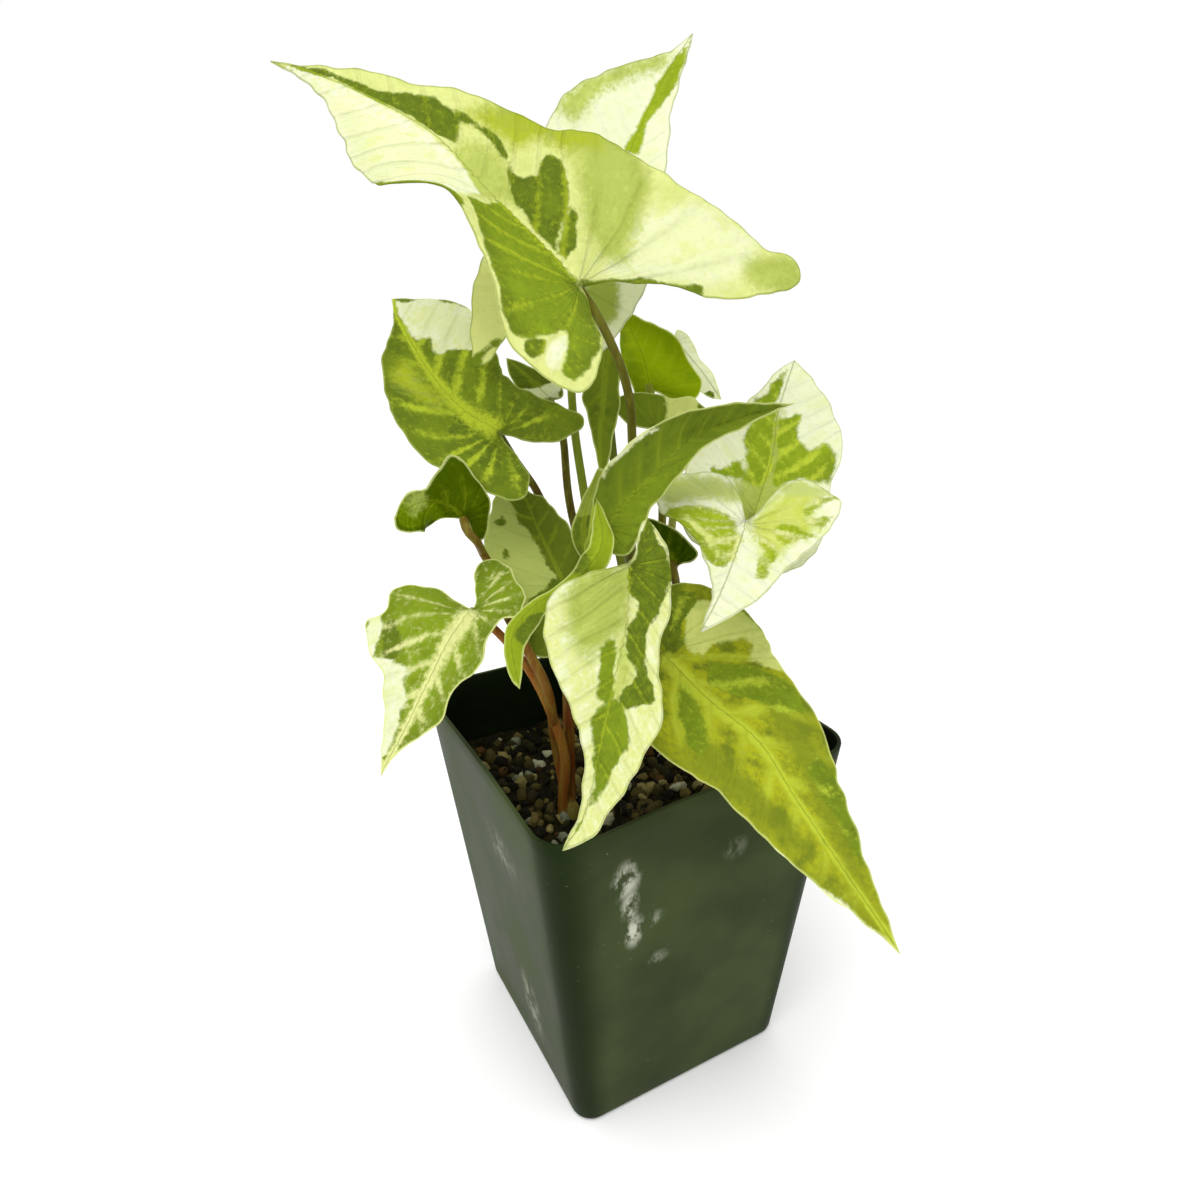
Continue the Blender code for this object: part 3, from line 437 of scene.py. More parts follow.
              (13, 0), (16.5, 1), (16.5, 4), (11.5, 8.5), (8, 14.5)]),
            ("fresh", [(1.5, -6), (-1, -8.5), (0.5, -11.5), (3, -16), (5, -13.5), (6, -10)]),
            ("fresh", [(-6, -13.5), (-8.5, -16.5), (-9.5, -21), (-6.5, -17.5), (-4, -15), (-1.5, -15),
              (-2.5, -20), (0.5, -17.5), (0.5, -14)]),
            ("fresh", [(2.5, -1.5), (5, -5.5), (8.5, -9), (11.5, -9), (13.5, -7.5), (19, -8.5),
              (18.5, -6.5), (14, -5.5), (9, -6)]),
            ("haze", [(-14.5, -5.5), (-15, -11.5), (-12.5, -20), (-9.5, -20.5), (-9, -13.5), (-9.5, -7)]),
            ("straw", [(3, 15), (8.5, 9.5), (11.5, 5.5), (13.5, 3), (8, 6), (3.5, 11.5), (0, 14)]),
        ],
    ),
    "leaf_long": dict(
        midrib=[(-13, -17, 166), (-6, -16, 172), (1, -17, 178), (9, -18, 184), (19, -21, 188),
            (33, -25, 191)],
        facing=(-150, 45), foldLeft=[(0, 15), (0.3, 35), (0.6, 70)], foldRight=25, cup=1,
        left=[(48, 2.5), (40, 5), (30, 8), (20, 9.5), (12, 9.5), (6, 8), (1, 5), (-2, 2)],
        right=[(50, 1), (43, 3), (36, 4.5), (25, 6.5), (15, 6.5), (8, 7), (2, 9), (-3, 9.5), (-5, 6),
            (-3, 2.5)],
        paint=dict(ground="green", second="dark", mottle=0.9, halo=0.25, veins=6.0, ribHalo=1.4),
        marks=[
            ("green", [(-7.5, 3), (-1, -1.5), (7.5, -2), (15.5, 0), (24, 5), (36, 6), (39, 7), (28, 9),
              (16, 9.5), (5, 8), (-5.5, 8), (-8, 7.5)]),
            ("cream", [(9, -8.5), (15, -9), (21, -8.5), (24, -7.5), (22, -10.5), (15, -11), (10, -11)]),
        ],
    ),
    "leaf_olive": dict(
        midrib=[(24, 25, 189), (25, 30, 196), (25, 35, 201), (25, 43, 208)],
        facing=(25, 30), foldLeft=13, foldRight=13, cup=1,
        left=[(22.5, 3), (18, 5.5), (15, 7.5), (11, 10), (6, 12), (2, 13.5), (-2, 14.5), (-5, 12.5),
            (-6, 9), (-4.5, 5), (-2, 2)],
        right=[(24, 3), (20, 7), (14, 7.5), (7, 6), (1, 5), (-4, 4.5), (-5, 2.5), (-2.5, 1)],
        paint=dict(ground="fresh", second="mid", mottle=0.8, halo=0.3, veins=5.5, ribHalo=1.2),
        marks=[],
    ),
    "leaf_cream_back": dict(
        midrib=[(43, 41, 198), (47, 35, 191), (49, 26, 183)],
        facing=(-143, 40), foldLeft=12, foldRight=12, cup=2,
        left=[(18, 1.5), (12.5, 2.5), (8, 2), (4, 3.5), (0, 4), (-3, 2.5)],
        right=[(20, 2.5), (15, 5), (9, 7), (3, 7), (-3, 5), (-4, 2)],
        paint=dict(ground="cream", second="paleYellow", mottle=0.5, halo=0.2, veins=4.0),
        marks=[
            ("dark", [(18, 3.5), (19, 1), (21, 2), (20, 4.5)]),
        ],
    ),
    "leaf_back_low": dict(
        midrib=[(17, 10, 181), (24, 10, 183), (32, 9, 185)],
        facing=(-150, 50), foldLeft=15, foldRight=15, cup=2,
        left=[(14.5, 2), (13, 4.5), (8, 6), (5.5, 9), (1, 12), (-4, 13), (-7, 10), (-7, 5), (-4, 2)],
        right=[(11.5, 3), (6, 3), (1, 2.5), (-3, 4), (-6, 3), (-4, 1)],
        paint=dict(ground="green", second="dark", mottle=0.5, halo=0.3, veins=4.0),
        marks=[
            ("straw", [(9, -11), (14.5, -8), (18.5, -2), (14.5, 5.5), (7.5, 6), (3, 0.5)]),
            ("dark", [(14.5, -3), (16, -1.5), (14, 1), (13, -0.5)]),
        ],
    ),
    "leaf_grey": dict(
        midrib=[(7, 18, 201), (3, 13, 190), (-1, 8, 181), (-4, 2, 171)],
        facing=(-141, 25), foldLeft=12, foldRight=12, cup=2,
        left=[(32, 1.5), (24.5, 3.5), (19, 4.2), (13, 4.2), (7, 3.8), (2, 3), (-1, 1.5)],
        right=[(30, 1), (22, 2.5), (17, 4), (13, 5.5), (9, 4.5), (4, 3.5), (-1, 1.5)],
        paint=dict(ground="green", second="dark", mottle=0.6, halo=0.3, veins=4.5),
        marks=[
            ("dark", [(14.5, 3.5), (14.5, -4.5), (18, -5.5), (18, 3)]),
        ],
    ),
    "leaf_small_pale": dict(
        midrib=[(-12, -6, 156), (-12, -3, 162), (-9, -1, 169), (-6, -1, 176)],
        facing=(-137, 30), foldLeft=12, foldRight=12, cup=2,
        left=[(22, 0.6), (18, 1), (14, 1.8), (11, 2.2), (6, 3.2), (2, 3), (-1, 1.5)],
        right=[(22, 1.5), (19, 2.8), (15, 4), (10, 3.8), (4, 2.6), (0, 1.5)],
        paint=dict(ground="celery", second="green", mottle=0.4, halo=0.3, veins=4.0),
        marks=[
            ("dark", [(9.5, -3), (11, 3), (3.5, 3.5), (-2, 1), (0, -3.5), (4.5, -3.5)]),
        ],
    ),
    "leaf_dark_behind": dict(
        midrib=[(7, -15, 153), (5, -11, 158), (1, -8, 164)],
        facing=(38, 25), foldLeft=12, foldRight=12, cup=1,
        left=[(13, 2), (8, 4.5), (3, 5.8), (-1, 6.5), (-2, 4), (-1, 1.5)],
        right=[(12, 2.5), (6, 3.5), (2, 2.5), (-1, 1)],
        paint=dict(ground="dark", second="black", mottle=0.7, halo=0.2, veins=4.0),
        marks=[],
    ),
    "leaf_behind_left": dict(
        midrib=[(-2, 35, 187), (-5, 42, 192), (-8, 50, 197)],
        facing=(-160, 35), foldLeft=12, foldRight=12, cup=1,
        left=[(16, 2), (12, 4), (8, 5), (4, 4), (0, 3), (-2, 1)],
        right=[(16, 1.5), (11, 3), (5, 4), (1, 5), (-2, 3)],
        paint=dict(ground="dark", second="green", mottle=0.4, halo=0.3, veins=4.0),
        marks=[
            ("cream", [(8.5, -7.5), (6.5, -2), (2.5, 5.5), (-1.5, 2), (2.5, -5), (6.5, -8)]),
        ],
    ),
}

leafColours = dict(
    cream="#fcfce4", paleYellow="#e6ea9c", celery="#a3af50", lime="#b0ba14", pale="#c9d374",
    green="#5e7404", fresh="#8fa50a", dark="#344a00", grey="#9dac52", olive="#485a02", young="#94a80c",
    black="#162600", under="#7f8e34", halo="#adbb22", veinLine="#5a6e08", edgeLine="#5f6c12",
    greyCelery="#c0cb74", mid="#7a940c", ochre="#b0b210", ochreDark="#5c6608", brightHalo="#cddb40",
    creamHalo="#f0f0a8", haze="#c4cd82", straw="#e6eb90", ivory="#f8f8dc", moss="#7f880c",
    # the lemon tone is partly painted light: it brightens a shaded lobe of leaf_back_top
    softHalo="#bccb30", paintedLightLemon="#fafca8", glow="#c6d24c",
)

# for each kind of patch: mm over which it fades into its neighbour, and its own second tone
patchKinds = dict(
    cream=(0.5, "paleYellow"), celery=(2.6, "pale"), lime=(3.0, "celery"), pale=(2.2, "celery"),
    green=(0.5, "mid"), fresh=(0.6, "halo"), dark=(0.4, "green"), grey=(1.6, "celery"),
    greyCelery=(0.4, "pale"), mid=(0.6, "fresh"), haze=(1.8, "pale"), straw=(0.6, "pale"),
    ivory=(4.0, "paleYellow"), paintedLightLemon=(2.0, "straw"), glow=(2.4, "straw"), moss=(2.2, "ochreDark"),
)
greenKinds = ("green", "dark", "mid", "fresh")
paleGrounds = ("cream", "paleYellow")

usualPaint = dict(
    rag=0.8,              # how ragged the patches are
    quilt=1.0,            # share of the swelling between side veins
    relief=1.0,           # share of the fine relief
    edge=0.6,             # how dark green goes towards the margin
    ribHalo=2.4,          # mm, pale band beside the midrib
    sideHalo=1.7,         # mm, pale band beside a side vein
    haloTone="halo",
    line=0.1,             # share of the dark line on a side vein
    rim=0.5, rimTone="paleYellow",      # thin line along the margin
)

leafSkin = dict(
    cloud=14.0, blotch=5.0, raggedness=3.6, grain=1.0, pucker=3.5, wobble=9.0,    # mm, sizes of lumps
    stray=5.6,            # mm that a patch's border strays
    streak=0.16,          # mm more along the fine veins
    halfShift=0.42,       # how far the two halves' side veins alternate, in spacings
    fineVeins=4.0,        # fine veins to each side vein
    cellScale=0.62,       # cells of the vein net, about 1.6 mm
    relief=0.24,          # mm
    ior=1.42, shine=0.01, # waxy, but with the gloss lost in small bumps
    flesh=0.2, fleshDepth=0.9,          # share and mm of light that spreads inside
)


def spline(points, step):
    # even points along a smooth curve through the given ones
    p = np.array(points, float)
    p = np.vstack([2 * p[0] - p[1], p, 2 * p[-1] - p[-2]])
    dense = []
    for i in range(1, len(p) - 2):
        a, b, c, d = p[i - 1:i + 3]
        for t in np.linspace(0, 1, 16, endpoint=False):
            dense.append(0.5 * (2 * b + (c - a) * t + (2 * a - 5 * b + 4 * c - d) * t**2
                                + (3 * b - a - 3 * c + d) * t**3))
    dense = np.array(dense + [p[-2]])
    run = np.r_[0, np.cumsum(np.linalg.norm(np.diff(dense, axis=0), axis=1))]
    count = max(2, round(run[-1] / step)) + 1
    at = np.linspace(0, run[-1], count)
    return np.stack([np.interp(at, run, dense[:, k]) for k in range(dense.shape[1])], -1)


def eased(steps, share):
    # a fold angle for each share of the length
    if np.isscalar(steps):
        return np.full(np.shape(share), float(steps))
    share = np.clip(share, steps[0][0], steps[-1][0])
    value = np.full(np.shape(share), float(steps[0][1]))
    for (x0, y0), (x1, y1) in zip(steps, steps[1:]):
        k = np.clip((share - x0) / (x1 - x0), 0, 1)
        value += (y1 - y0) * k * k * (3 - 2 * k)
    return value


def midribOf(leaf):
    # the midrib's points and its direction, evened over nine of them
    line = spline(leaf["midrib"], bladeLook["midribStep"])
    run = np.r_[0, np.cumsum(np.linalg.norm(np.diff(line, axis=0), axis=1))]
    way = np.gradient(line, run, axis=0)
    padded = np.vstack([np.repeat(way[:1], 4, 0), way, np.repeat(way[-1:], 4, 0)])
    way = np.stack([np.convolve(padded[:, k], np.ones(9) / 9, "valid") for k in range(3)], -1)
    return run, line, unit(way)


def bladeSurface(leaf, flat):
    # places flat (along, out) points on the bent and folded blade
    run, line, way = midribOf(leaf)
    along, out = flat[:, 0], flat[:, 1]
    on = np.clip(along, 0, run[-1])
    centre = np.stack([np.interp(on, run, line[:, k]) for k in range(3)], -1)
    direction = unit(np.stack([np.interp(on, run, way[:, k]) for k in range(3)], -1))
    centre = centre + direction * (along - on)[:, None]
    azimuth, height = np.radians(leaf["facing"])
    look = np.array([math.cos(height) * math.sin(azimuth), math.cos(height) * math.cos(azimuth),
                     math.sin(height)])
    up = unit(look - direction * (direction @ look)[:, None])
    across = np.cross(direction, up)
    share = along / run[-1]
    fold = np.radians(np.where(out >= 0, eased(leaf["foldRight"], share), eased(leaf["foldLeft"], share)))
    reach = np.abs(out)
    side = np.sign(out) * reach * np.cos(fold)
    rise = reach * np.sin(fold) - leaf["cup"] * (reach / bladeLook["cupReach"])**2
    return centre + side[:, None] * across + rise[:, None] * up


def bladeOutline(leaf, step):
    # the flat margin as a closed loop: tip, left side, stalk, right side
    run = midribOf(leaf)[0]
    tip, root = (run[-1], 0.0), (-bladeLook["behindStalk"], 0.0)
    left = spline([tip] + [(a, -b) for a, b in leaf["left"]] + [root], step)
    right = spline([root] + leaf["right"][::-1] + [tip], step)
    loop, rootAt = np.vstack([left[:-1], right[:-1]]), len(left) - 1
    tangent = unit(np.roll(loop, -1, axis=0) - np.roll(loop, 1, axis=0))
    pitch = bladeLook["frillPitch"]
    frill = np.array([hills.noise(Vector((a * pitch, o * pitch, 5.0))) for a, o in loop])
    number = np.arange(len(loop))         # the frill fades out towards the tip and the stalk
    ends = np.minimum(np.minimum(np.abs(number - rootAt), number), len(loop) - number)
    frill *= 2 * bladeLook["frill"] * min(1, run[-1] / bladeLook["fullLength"])
    frill *= np.clip((ends - 2) / 6, 0, 1)
    return loop + np.stack([tangent[:, 1], -tangent[:, 0]], -1) * frill[:, None], rootAt


def toLoop(points, loop):
    # distance of flat points to a closed outline, mm, positive inside
    best = np.full(len(points), 1e9)
    inside = np.zeros(len(points), bool)
    x, y = points[:, 0], points[:, 1]
    for (ax, ay), (bx, by) in zip(loop, np.roll(loop, -1, axis=0)):
        dx, dy = bx - ax, by - ay
        t = np.clip(((x - ax) * dx + (y - ay) * dy) / max(dx * dx + dy * dy, 1e-9), 0, 1)
        best = np.minimum(best, np.hypot(x - ax - t * dx, y - ay - t * dy))
        if ay != by:
            inside ^= ((ay > y) != (by > y)) & (x < (by - ay)**-1 * (y - ay) * dx + ax)
    return np.where(inside, best, -best)


def bladeNet(leaf, step, inner):
    # flat triangles inside the margin, with an edge along the whole midrib
    loop, rootAt = bladeOutline(leaf, step)
    back = bladeLook["behindStalk"]
    count = max(2, round((loop[0, 0] + back) / inner))
    rib = [(-back + (loop[0, 0] + back) * i / count, 0.0) for i in range(1, count)]
    n = len(loop)
    edges = [(i, (i + 1) % n) for i in range(n)]
    chain = [rootAt] + list(range(n, n + len(rib))) + [0]
    edges += list(zip(chain, chain[1:]))
    low, high = loop.min(0), loop.max(0)
    rows = np.arange(low[0] + inner / 2, high[0], inner * 0.87)
    grid = []
    for k, x in enumerate(rows):
        ys = np.arange(low[1] + inner * (0.25 if k % 2 else 0.75), high[1], inner)
        grid.append(np.stack([np.full(len(ys), x), ys], -1))
    grid = np.vstack(grid)
    clear = toLoop(grid, loop) > inner * 0.55
    clear &= (np.abs(grid[:, 1]) > inner * 0.5) | (grid[:, 0] < -back)
    points = [tuple(p) for p in loop] + rib + [tuple(p) for p in grid[clear]]
    flat, _, faces, _, _, _ = delaunay_2d_cdt([Vector(p) for p in points], edges, [], 1, 1e-5)
    used = sorted({i for f in faces for i in f})
    place = {old: new for new, old in enumerate(used)}
    flat = np.array([tuple(flat[i]) for i in used])
    return flat, np.array([[place[i] for i in f] for f in faces]), loop


def veinPhase(flat, spacing):
    # whole numbers lie on the side veins; below the stalk the veins fan out into the lobes
    along, reach = flat[:, 0], np.abs(flat[:, 1])
    slope = 1 / math.tan(math.radians(bladeLook["veinAngle"]))
    lean = reach * slope + bladeLook["veinBend"] * reach**2
    start = along - reach * slope - bladeLook["veinBend"] * reach**2
    firstAngle = np.degrees(np.arctan2(reach, np.maximum(lean, 1e-6)))
    fan = -(np.degrees(np.arctan2(reach, along)) - firstAngle) / bladeLook["lobeVeins"]
    return np.where(start >= 0, start / spacing, np.where(np.hypot(along, reach) < 0.01, 0, fan))


def surfaceNormals(surface, faces):
    # for each point, the mean direction of the faces around it, large faces counting more
    normals = np.zeros_like(surface)
    a, b, c = surface[faces[:, 0]], surface[faces[:, 1]], surface[faces[:, 2]]
    area = np.cross(b - a, c - a)
    for k in range(3):
        np.add.at(normals, faces[:, k], area)
    return unit(normals)


def closedSheet(flat, faces, upper, lower):
    # faces above, the same turned over below, and a strip along the border
    n = len(flat)
    polys = [tuple(f) for f in faces] + [tuple(i + n for i in f[::-1]) for f in faces]
    border = {}
    for f in faces:
        for a, b in zip(f, np.roll(f, -1)):
            if (b, a) in border:
                del border[(b, a)]
            else:
                border[(a, b)] = True
    return np.vstack([upper, lower]), polys + [(b, a, a + n, b + n) for a, b in border]


def buildBlade(name, leaf, seed):
    # the flat net is bent and folded, swollen between the veins and waved, and given its lower face
    look, paint = bladeLook, {**usualPaint, **leaf["paint"]}
    flat, faces, loop = bladeNet(leaf, look["marginStep"], look["netStep"])
    surface = bladeSurface(leaf, flat)
    normals = surfaceNormals(surface, faces)
    along, out = flat[:, 0], flat[:, 1]
    length = loop[0, 0]
    edge = np.maximum(toLoop(flat, loop), 0)
    phase = veinPhase(flat, paint["veins"])
    scale = min(1.0, length / look["fullLength"])
    nearRib = np.exp(-(out / look["ribWidth"])**2) * (along > -1) * np.clip(1.15 - along / length, 0.15, 1)
    swell = look["quilt"] * paint["quilt"] * scale * (0.5 - 0.5 * np.cos(2 * math.pi * phase))
    swell = swell * np.clip(np.abs(out) / look["quiltFrom"], 0, 1) * np.clip(edge / look["quiltTo"], 0, 1)
    pitch = look["ripplePitch"]
    waves = np.array([hills.noise(Vector((a * pitch + seed * 7, o * pitch, seed))) for a, o in flat])
    waves *= look["ripple"] * 2.2 * np.exp(-edge / look["rippleReach"])
    upper = surface + normals * (swell + waves - look["groove"] * scale * nearRib)[:, None]
    thicker = (look["thickness"] - look["edgeThickness"]) * np.clip(edge / look["thickFrom"], 0, 1)
    rib = (look["groove"] + look["ridge"]) * scale * nearRib
    lower = upper - normals * (look["edgeThickness"] + thicker + rib)[:, None]
    ob = meshObject(name + "_blade", *closedSheet(flat, faces, upper, lower))
    mesh = ob.data
    uv = np.vstack([flat, flat]) * 0.01 + 0.5       # one unit of the map is 100 mm of leaf
    layer = mesh.uv_layers.new(name="blade")
    corners = np.empty(len(mesh.loops), np.int32)
    mesh.loops.foreach_get("vertex_index", corners)
    layer.data.foreach_set("uv", uv[corners].astype(np.float32).ravel())
    floatLayer(mesh, "veinPhase", np.r_[phase, phase])
    floatLayer(mesh, "edgeDistance", np.r_[edge, edge])
    below = np.zeros(len(mesh.polygons))
    below[len(faces):2 * len(faces)] = 1
    floatLayer(mesh, "below", below, "FACE")
    kinds = list(dict.fromkeys(kind for kind, outline in leaf["marks"]))
    for kind in kinds:
        reach = np.full(len(flat), -look["farthest"])
        for other, outline in leaf["marks"]:
            if other == kind:
                reach = np.maximum(reach, toLoop(flat, np.array(outline, float)))
        reach = np.minimum(reach, look["farthest"])
        floatLayer(mesh, kind + "Patch", np.r_[reach, reach])
    mesh.materials.append(leafMaterial(name, paint, kinds, seed, length))
    finished(ob, name, look["edgeAngle"])


def leafMaterial(name, paint, kinds, seed, length):
    # living leaf, grown: waxy upper skin with a soft wide highlight, sunken veins, and light that
    # passes through the thin flesh; the variegation is cells without green, so its edges are ragged
    skin, spacing = leafSkin, paint["veins"]
    material, tree, shader = newMaterial(name + "_variegated_leaf_skin")
    node, lumps = partial(addNode, tree), partial(patchy, tree)
    sums, fade = partial(node, "Math"), partial(node, "MapRange", **smooth)
    mixed = partial(node, "Mix", out=2, **blend)
    tones = {key: linear(value) for key, value in leafColours.items()}
    layer = {key: node("Attribute", (), "Fac", attribute_name=key, attribute_type="GEOMETRY")
             for key in ["veinPhase", "edgeDistance", "below"] + [kind + "Patch" for kind in kinds]}
    edge = layer["edgeDistance"]

    # places on the blade, in mm
    flat = node("UVMap", uv_map="blade")
    place = node("Mapping", {"Vector": flat, "Scale": (100, 100, 100),
                             "Location": (seed * 31.0, seed * 17.0, 0)})
    along = sums((node("SeparateXYZ", (flat,), "X"), 100.0, -50.0), **timesPlus)
    out = sums((node("SeparateXYZ", (flat,), "Y"), 0.5), **minus)
    reach = sums((sums((out,), operation="ABSOLUTE"), 100.0), **times)
    wide = lumps(place, skin["wobble"])
    phase = sums((layer["veinPhase"], sums((sums((wide, 0.5), **minus), 0.35), **times)), **plus)
    phase = sums((sums((out, 0.0), operation="GREATER_THAN"), skin["halfShift"], phase), **timesPlus)
    sideVein = sums((sums((phase, 0.5), **folded), spacing), **times)
    fine = skin["fineVeins"]
    fineVein = sums((sums((sums((phase, fine), **times), 0.5), **folded), spacing / fine), **times)
    net = node("TexVoronoi", {"Vector": place, "Scale": skin["cellScale"], "Randomness": 1.0},
               feature="SMOOTH_F1")

    # the ground colour and its mottling, which keeps clear of the veins
    cloud = lumps(place, skin["cloud"])
    rag = sums((sums((lumps(place, skin["raggedness"], 4.0, 0.58), 0.5), **minus), skin["stray"]), **times)
    streaks = sums((sums((fade((fineVein, 0.0, 0.9)), 0.5), **minus), skin["streak"]), **times)
    rag = sums((sums((rag, streaks), **plus), paint["rag"]), **times)
    grain = lumps(place, skin["grain"], 4.0, 0.75)
    grainy = fade((grain, 0.45, 0.62))
    speck = sums((grain, 0.5), **minus)
    between = sums((fade((sideVein, 0.5, 0.36 * spacing, 0.3, 1.0)),
                    fade((reach, 0.5, 4.0, 0.35, 1.0))), **times)
    blotches = sums((fade((lumps(place, skin["blotch"], 4.0, 0.62), 0.44, 0.62)), between), **times)
    mottled = sums((blotches, sums((grainy, 0.6), **times)), **larger)
    mottled = sums((mottled, paint["mottle"]), **times)
    colour = mixed({0: mottled, 6: tones[paint["ground"]], 7: tones[paint["second"]]})

    # patches, each with its own second tone inside
    inner = sums((sums((sums((grainy, 0.7), **times), blotches), **larger), 0.75), **times)
    green = 0.0 if paint["ground"] in paleGrounds else 1.0
    for kind in kinds:
        soft, second = patchKinds[kind]
        depth = sums((layer[kind + "Patch"], rag), **plus)
        inPatch = fade((sums((speck, 2.6 * soft, depth), **timesPlus), -soft, soft))
        deep = fade((sums((speck, 5.0, depth), **timesPlus), 1.2, 4.5, 0.0, 0.4))
        tone = mixed({0: sums((inner, deep), **larger), 6: tones[kind], 7: tones[second]})
        colour = mixed({0: inPatch, 6: colour, 7: tone})
        isGreen = 1.0 if kind in greenKinds else 0.12
        green = node("Mix", {0: inPatch, 2: green, 3: isGreen}, data_type="FLOAT")

    # darker towards the margin
    darker = fade((sums((rag, 0.8, edge), **timesPlus), 0.5, 8.0, 1.0, 0.0))
    darker = sums((sums((darker, green), **times), fade((cloud, 0.35, 0.6, 0.25, 0.75))), **times)
    colour = mixed({0: sums((darker, paint["edge"]), **times), 6: colour, 7: tones["dark"]})

    # pale bands beside the midrib, the side veins and the net
    onRib = fade((along, -1.5, 1.0))
    tapered = sums((reach, fade((along, 0.0, length, 1.0, 3.0))), **times)
    ribHalo = fade((sums((rag, 0.25, tapered), **timesPlus), 0.2, paint["ribHalo"], 1.0, 0.0))
    sideHalo = fade((sums((rag, 0.42, sideVein), **timesPlus), -0.3, paint["sideHalo"], 0.95, 0.0))
    sideHalo = sums((sideHalo, fade((cloud, 0.3, 0.6, 0.3, 1.0))), **times)
    sideHalo = sums((sideHalo, fade((edge, 0.5, 6.5, 0.3, 1.0))), **times)
    netHalo = sums((fade((net, 0.4, 0.75)), fade((cloud, 0.35, 0.6, 0.05, 0.3))), **times)
    halo = sums((sums((ribHalo, onRib), **times), sums((sideHalo, netHalo), **larger)), **larger)
    halo = fade((sums((speck, 2.0, halo), **timesPlus), 0.02, 0.95))
    halo = sums((sums((halo, paint["halo"]), **times), green), **times)
    colour = mixed({0: halo, 6: colour, 7: tones[paint["haloTone"]]})

    # fine lines on the veins and the margin, and the duller lower face
    line = sums((fade((sideVein, 0.0, 0.3, paint["line"], 0.0)),
                 sums((green, 0.6, 0.4), **timesPlus)), **times)
    line = sums((sums((fade((reach, 0.08, 0.35, 0.5, 0.0)), onRib), **times), line), **larger)
    colour = mixed({0: line, 6: colour, 7: tones["veinLine"]})
    rim = fade((sums((rag, 0.12, edge), **timesPlus), 0.15, 0.5, paint["rim"], 0.0))
    colour = mixed({0: rim, 6: colour, 7: tones[paint["rimTone"]]})
    colour = mixed({0: sums((layer["below"], 0.35), **times), 6: colour, 7: tones["under"]})

    # veins sunk into the skin
    relief = sums((fade((sideVein, 0.0, 1.3)), 0.9), **times)
    relief = sums((fade((net, 0.2, 0.75, 1.0, 0.0)), 0.5, relief), **timesPlus)
    relief = sums((fade((fineVein, 0.0, 0.6)), 0.22, relief), **timesPlus)
    relief = sums((lumps(place, skin["pucker"], 3.0), 1.2, relief), **timesPlus)
    dress(tree, shader, {"Base Color": colour, "Roughness": fade((wide, 0.3, 0.7, 0.4, 0.52)),
                         "IOR": skin["ior"], "Specular IOR Level": skin["shine"],
                         "Subsurface Weight": skin["flesh"], "Subsurface Radius": (0.5, 0.7, 0.1),
                         "Subsurface Scale": skin["fleshDepth"] * mm},
          relief, 0.8, skin["relief"] * mm * paint["relief"])
    return material


for number, (leafName, leaf) in enumerate(leaves.items()):
    buildBlade(leafName, leaf, number + 1)
print("stage:", len(leaves), "leaf blades")


stalkLook = dict(
    footRadius=1.5,       # mm where it leaves the mix
    endRadius=1.0,        # mm under the blade
    collar=0.12,          # share that the end widens
    sides=14,
    step=1.5,             # mm between rings
    crownSpread=1.9,      # mm from the middle of a shoot to the foot of a stalk
    crownTop=84.5,        # height where a stalk leaves the crown, mm
    endUnder=0.9, endAhead=0.4,         # mm from the root of the blade to the end of its stalk
    crown=[(78.0, 3.6), (82.0, 3.5), (85.0, 3.0), (87.0, 2.0), (88.2, 0.7)],    # height and radius
    crownTone="#5c4a20", streakTone="#9aa040", speckTone="#5a3412",
    edgeAngle=60,
)
crowns = dict(left=(-21.0, -7.0), middle=(4.0, 4.0), back=(16.0, 17.0))

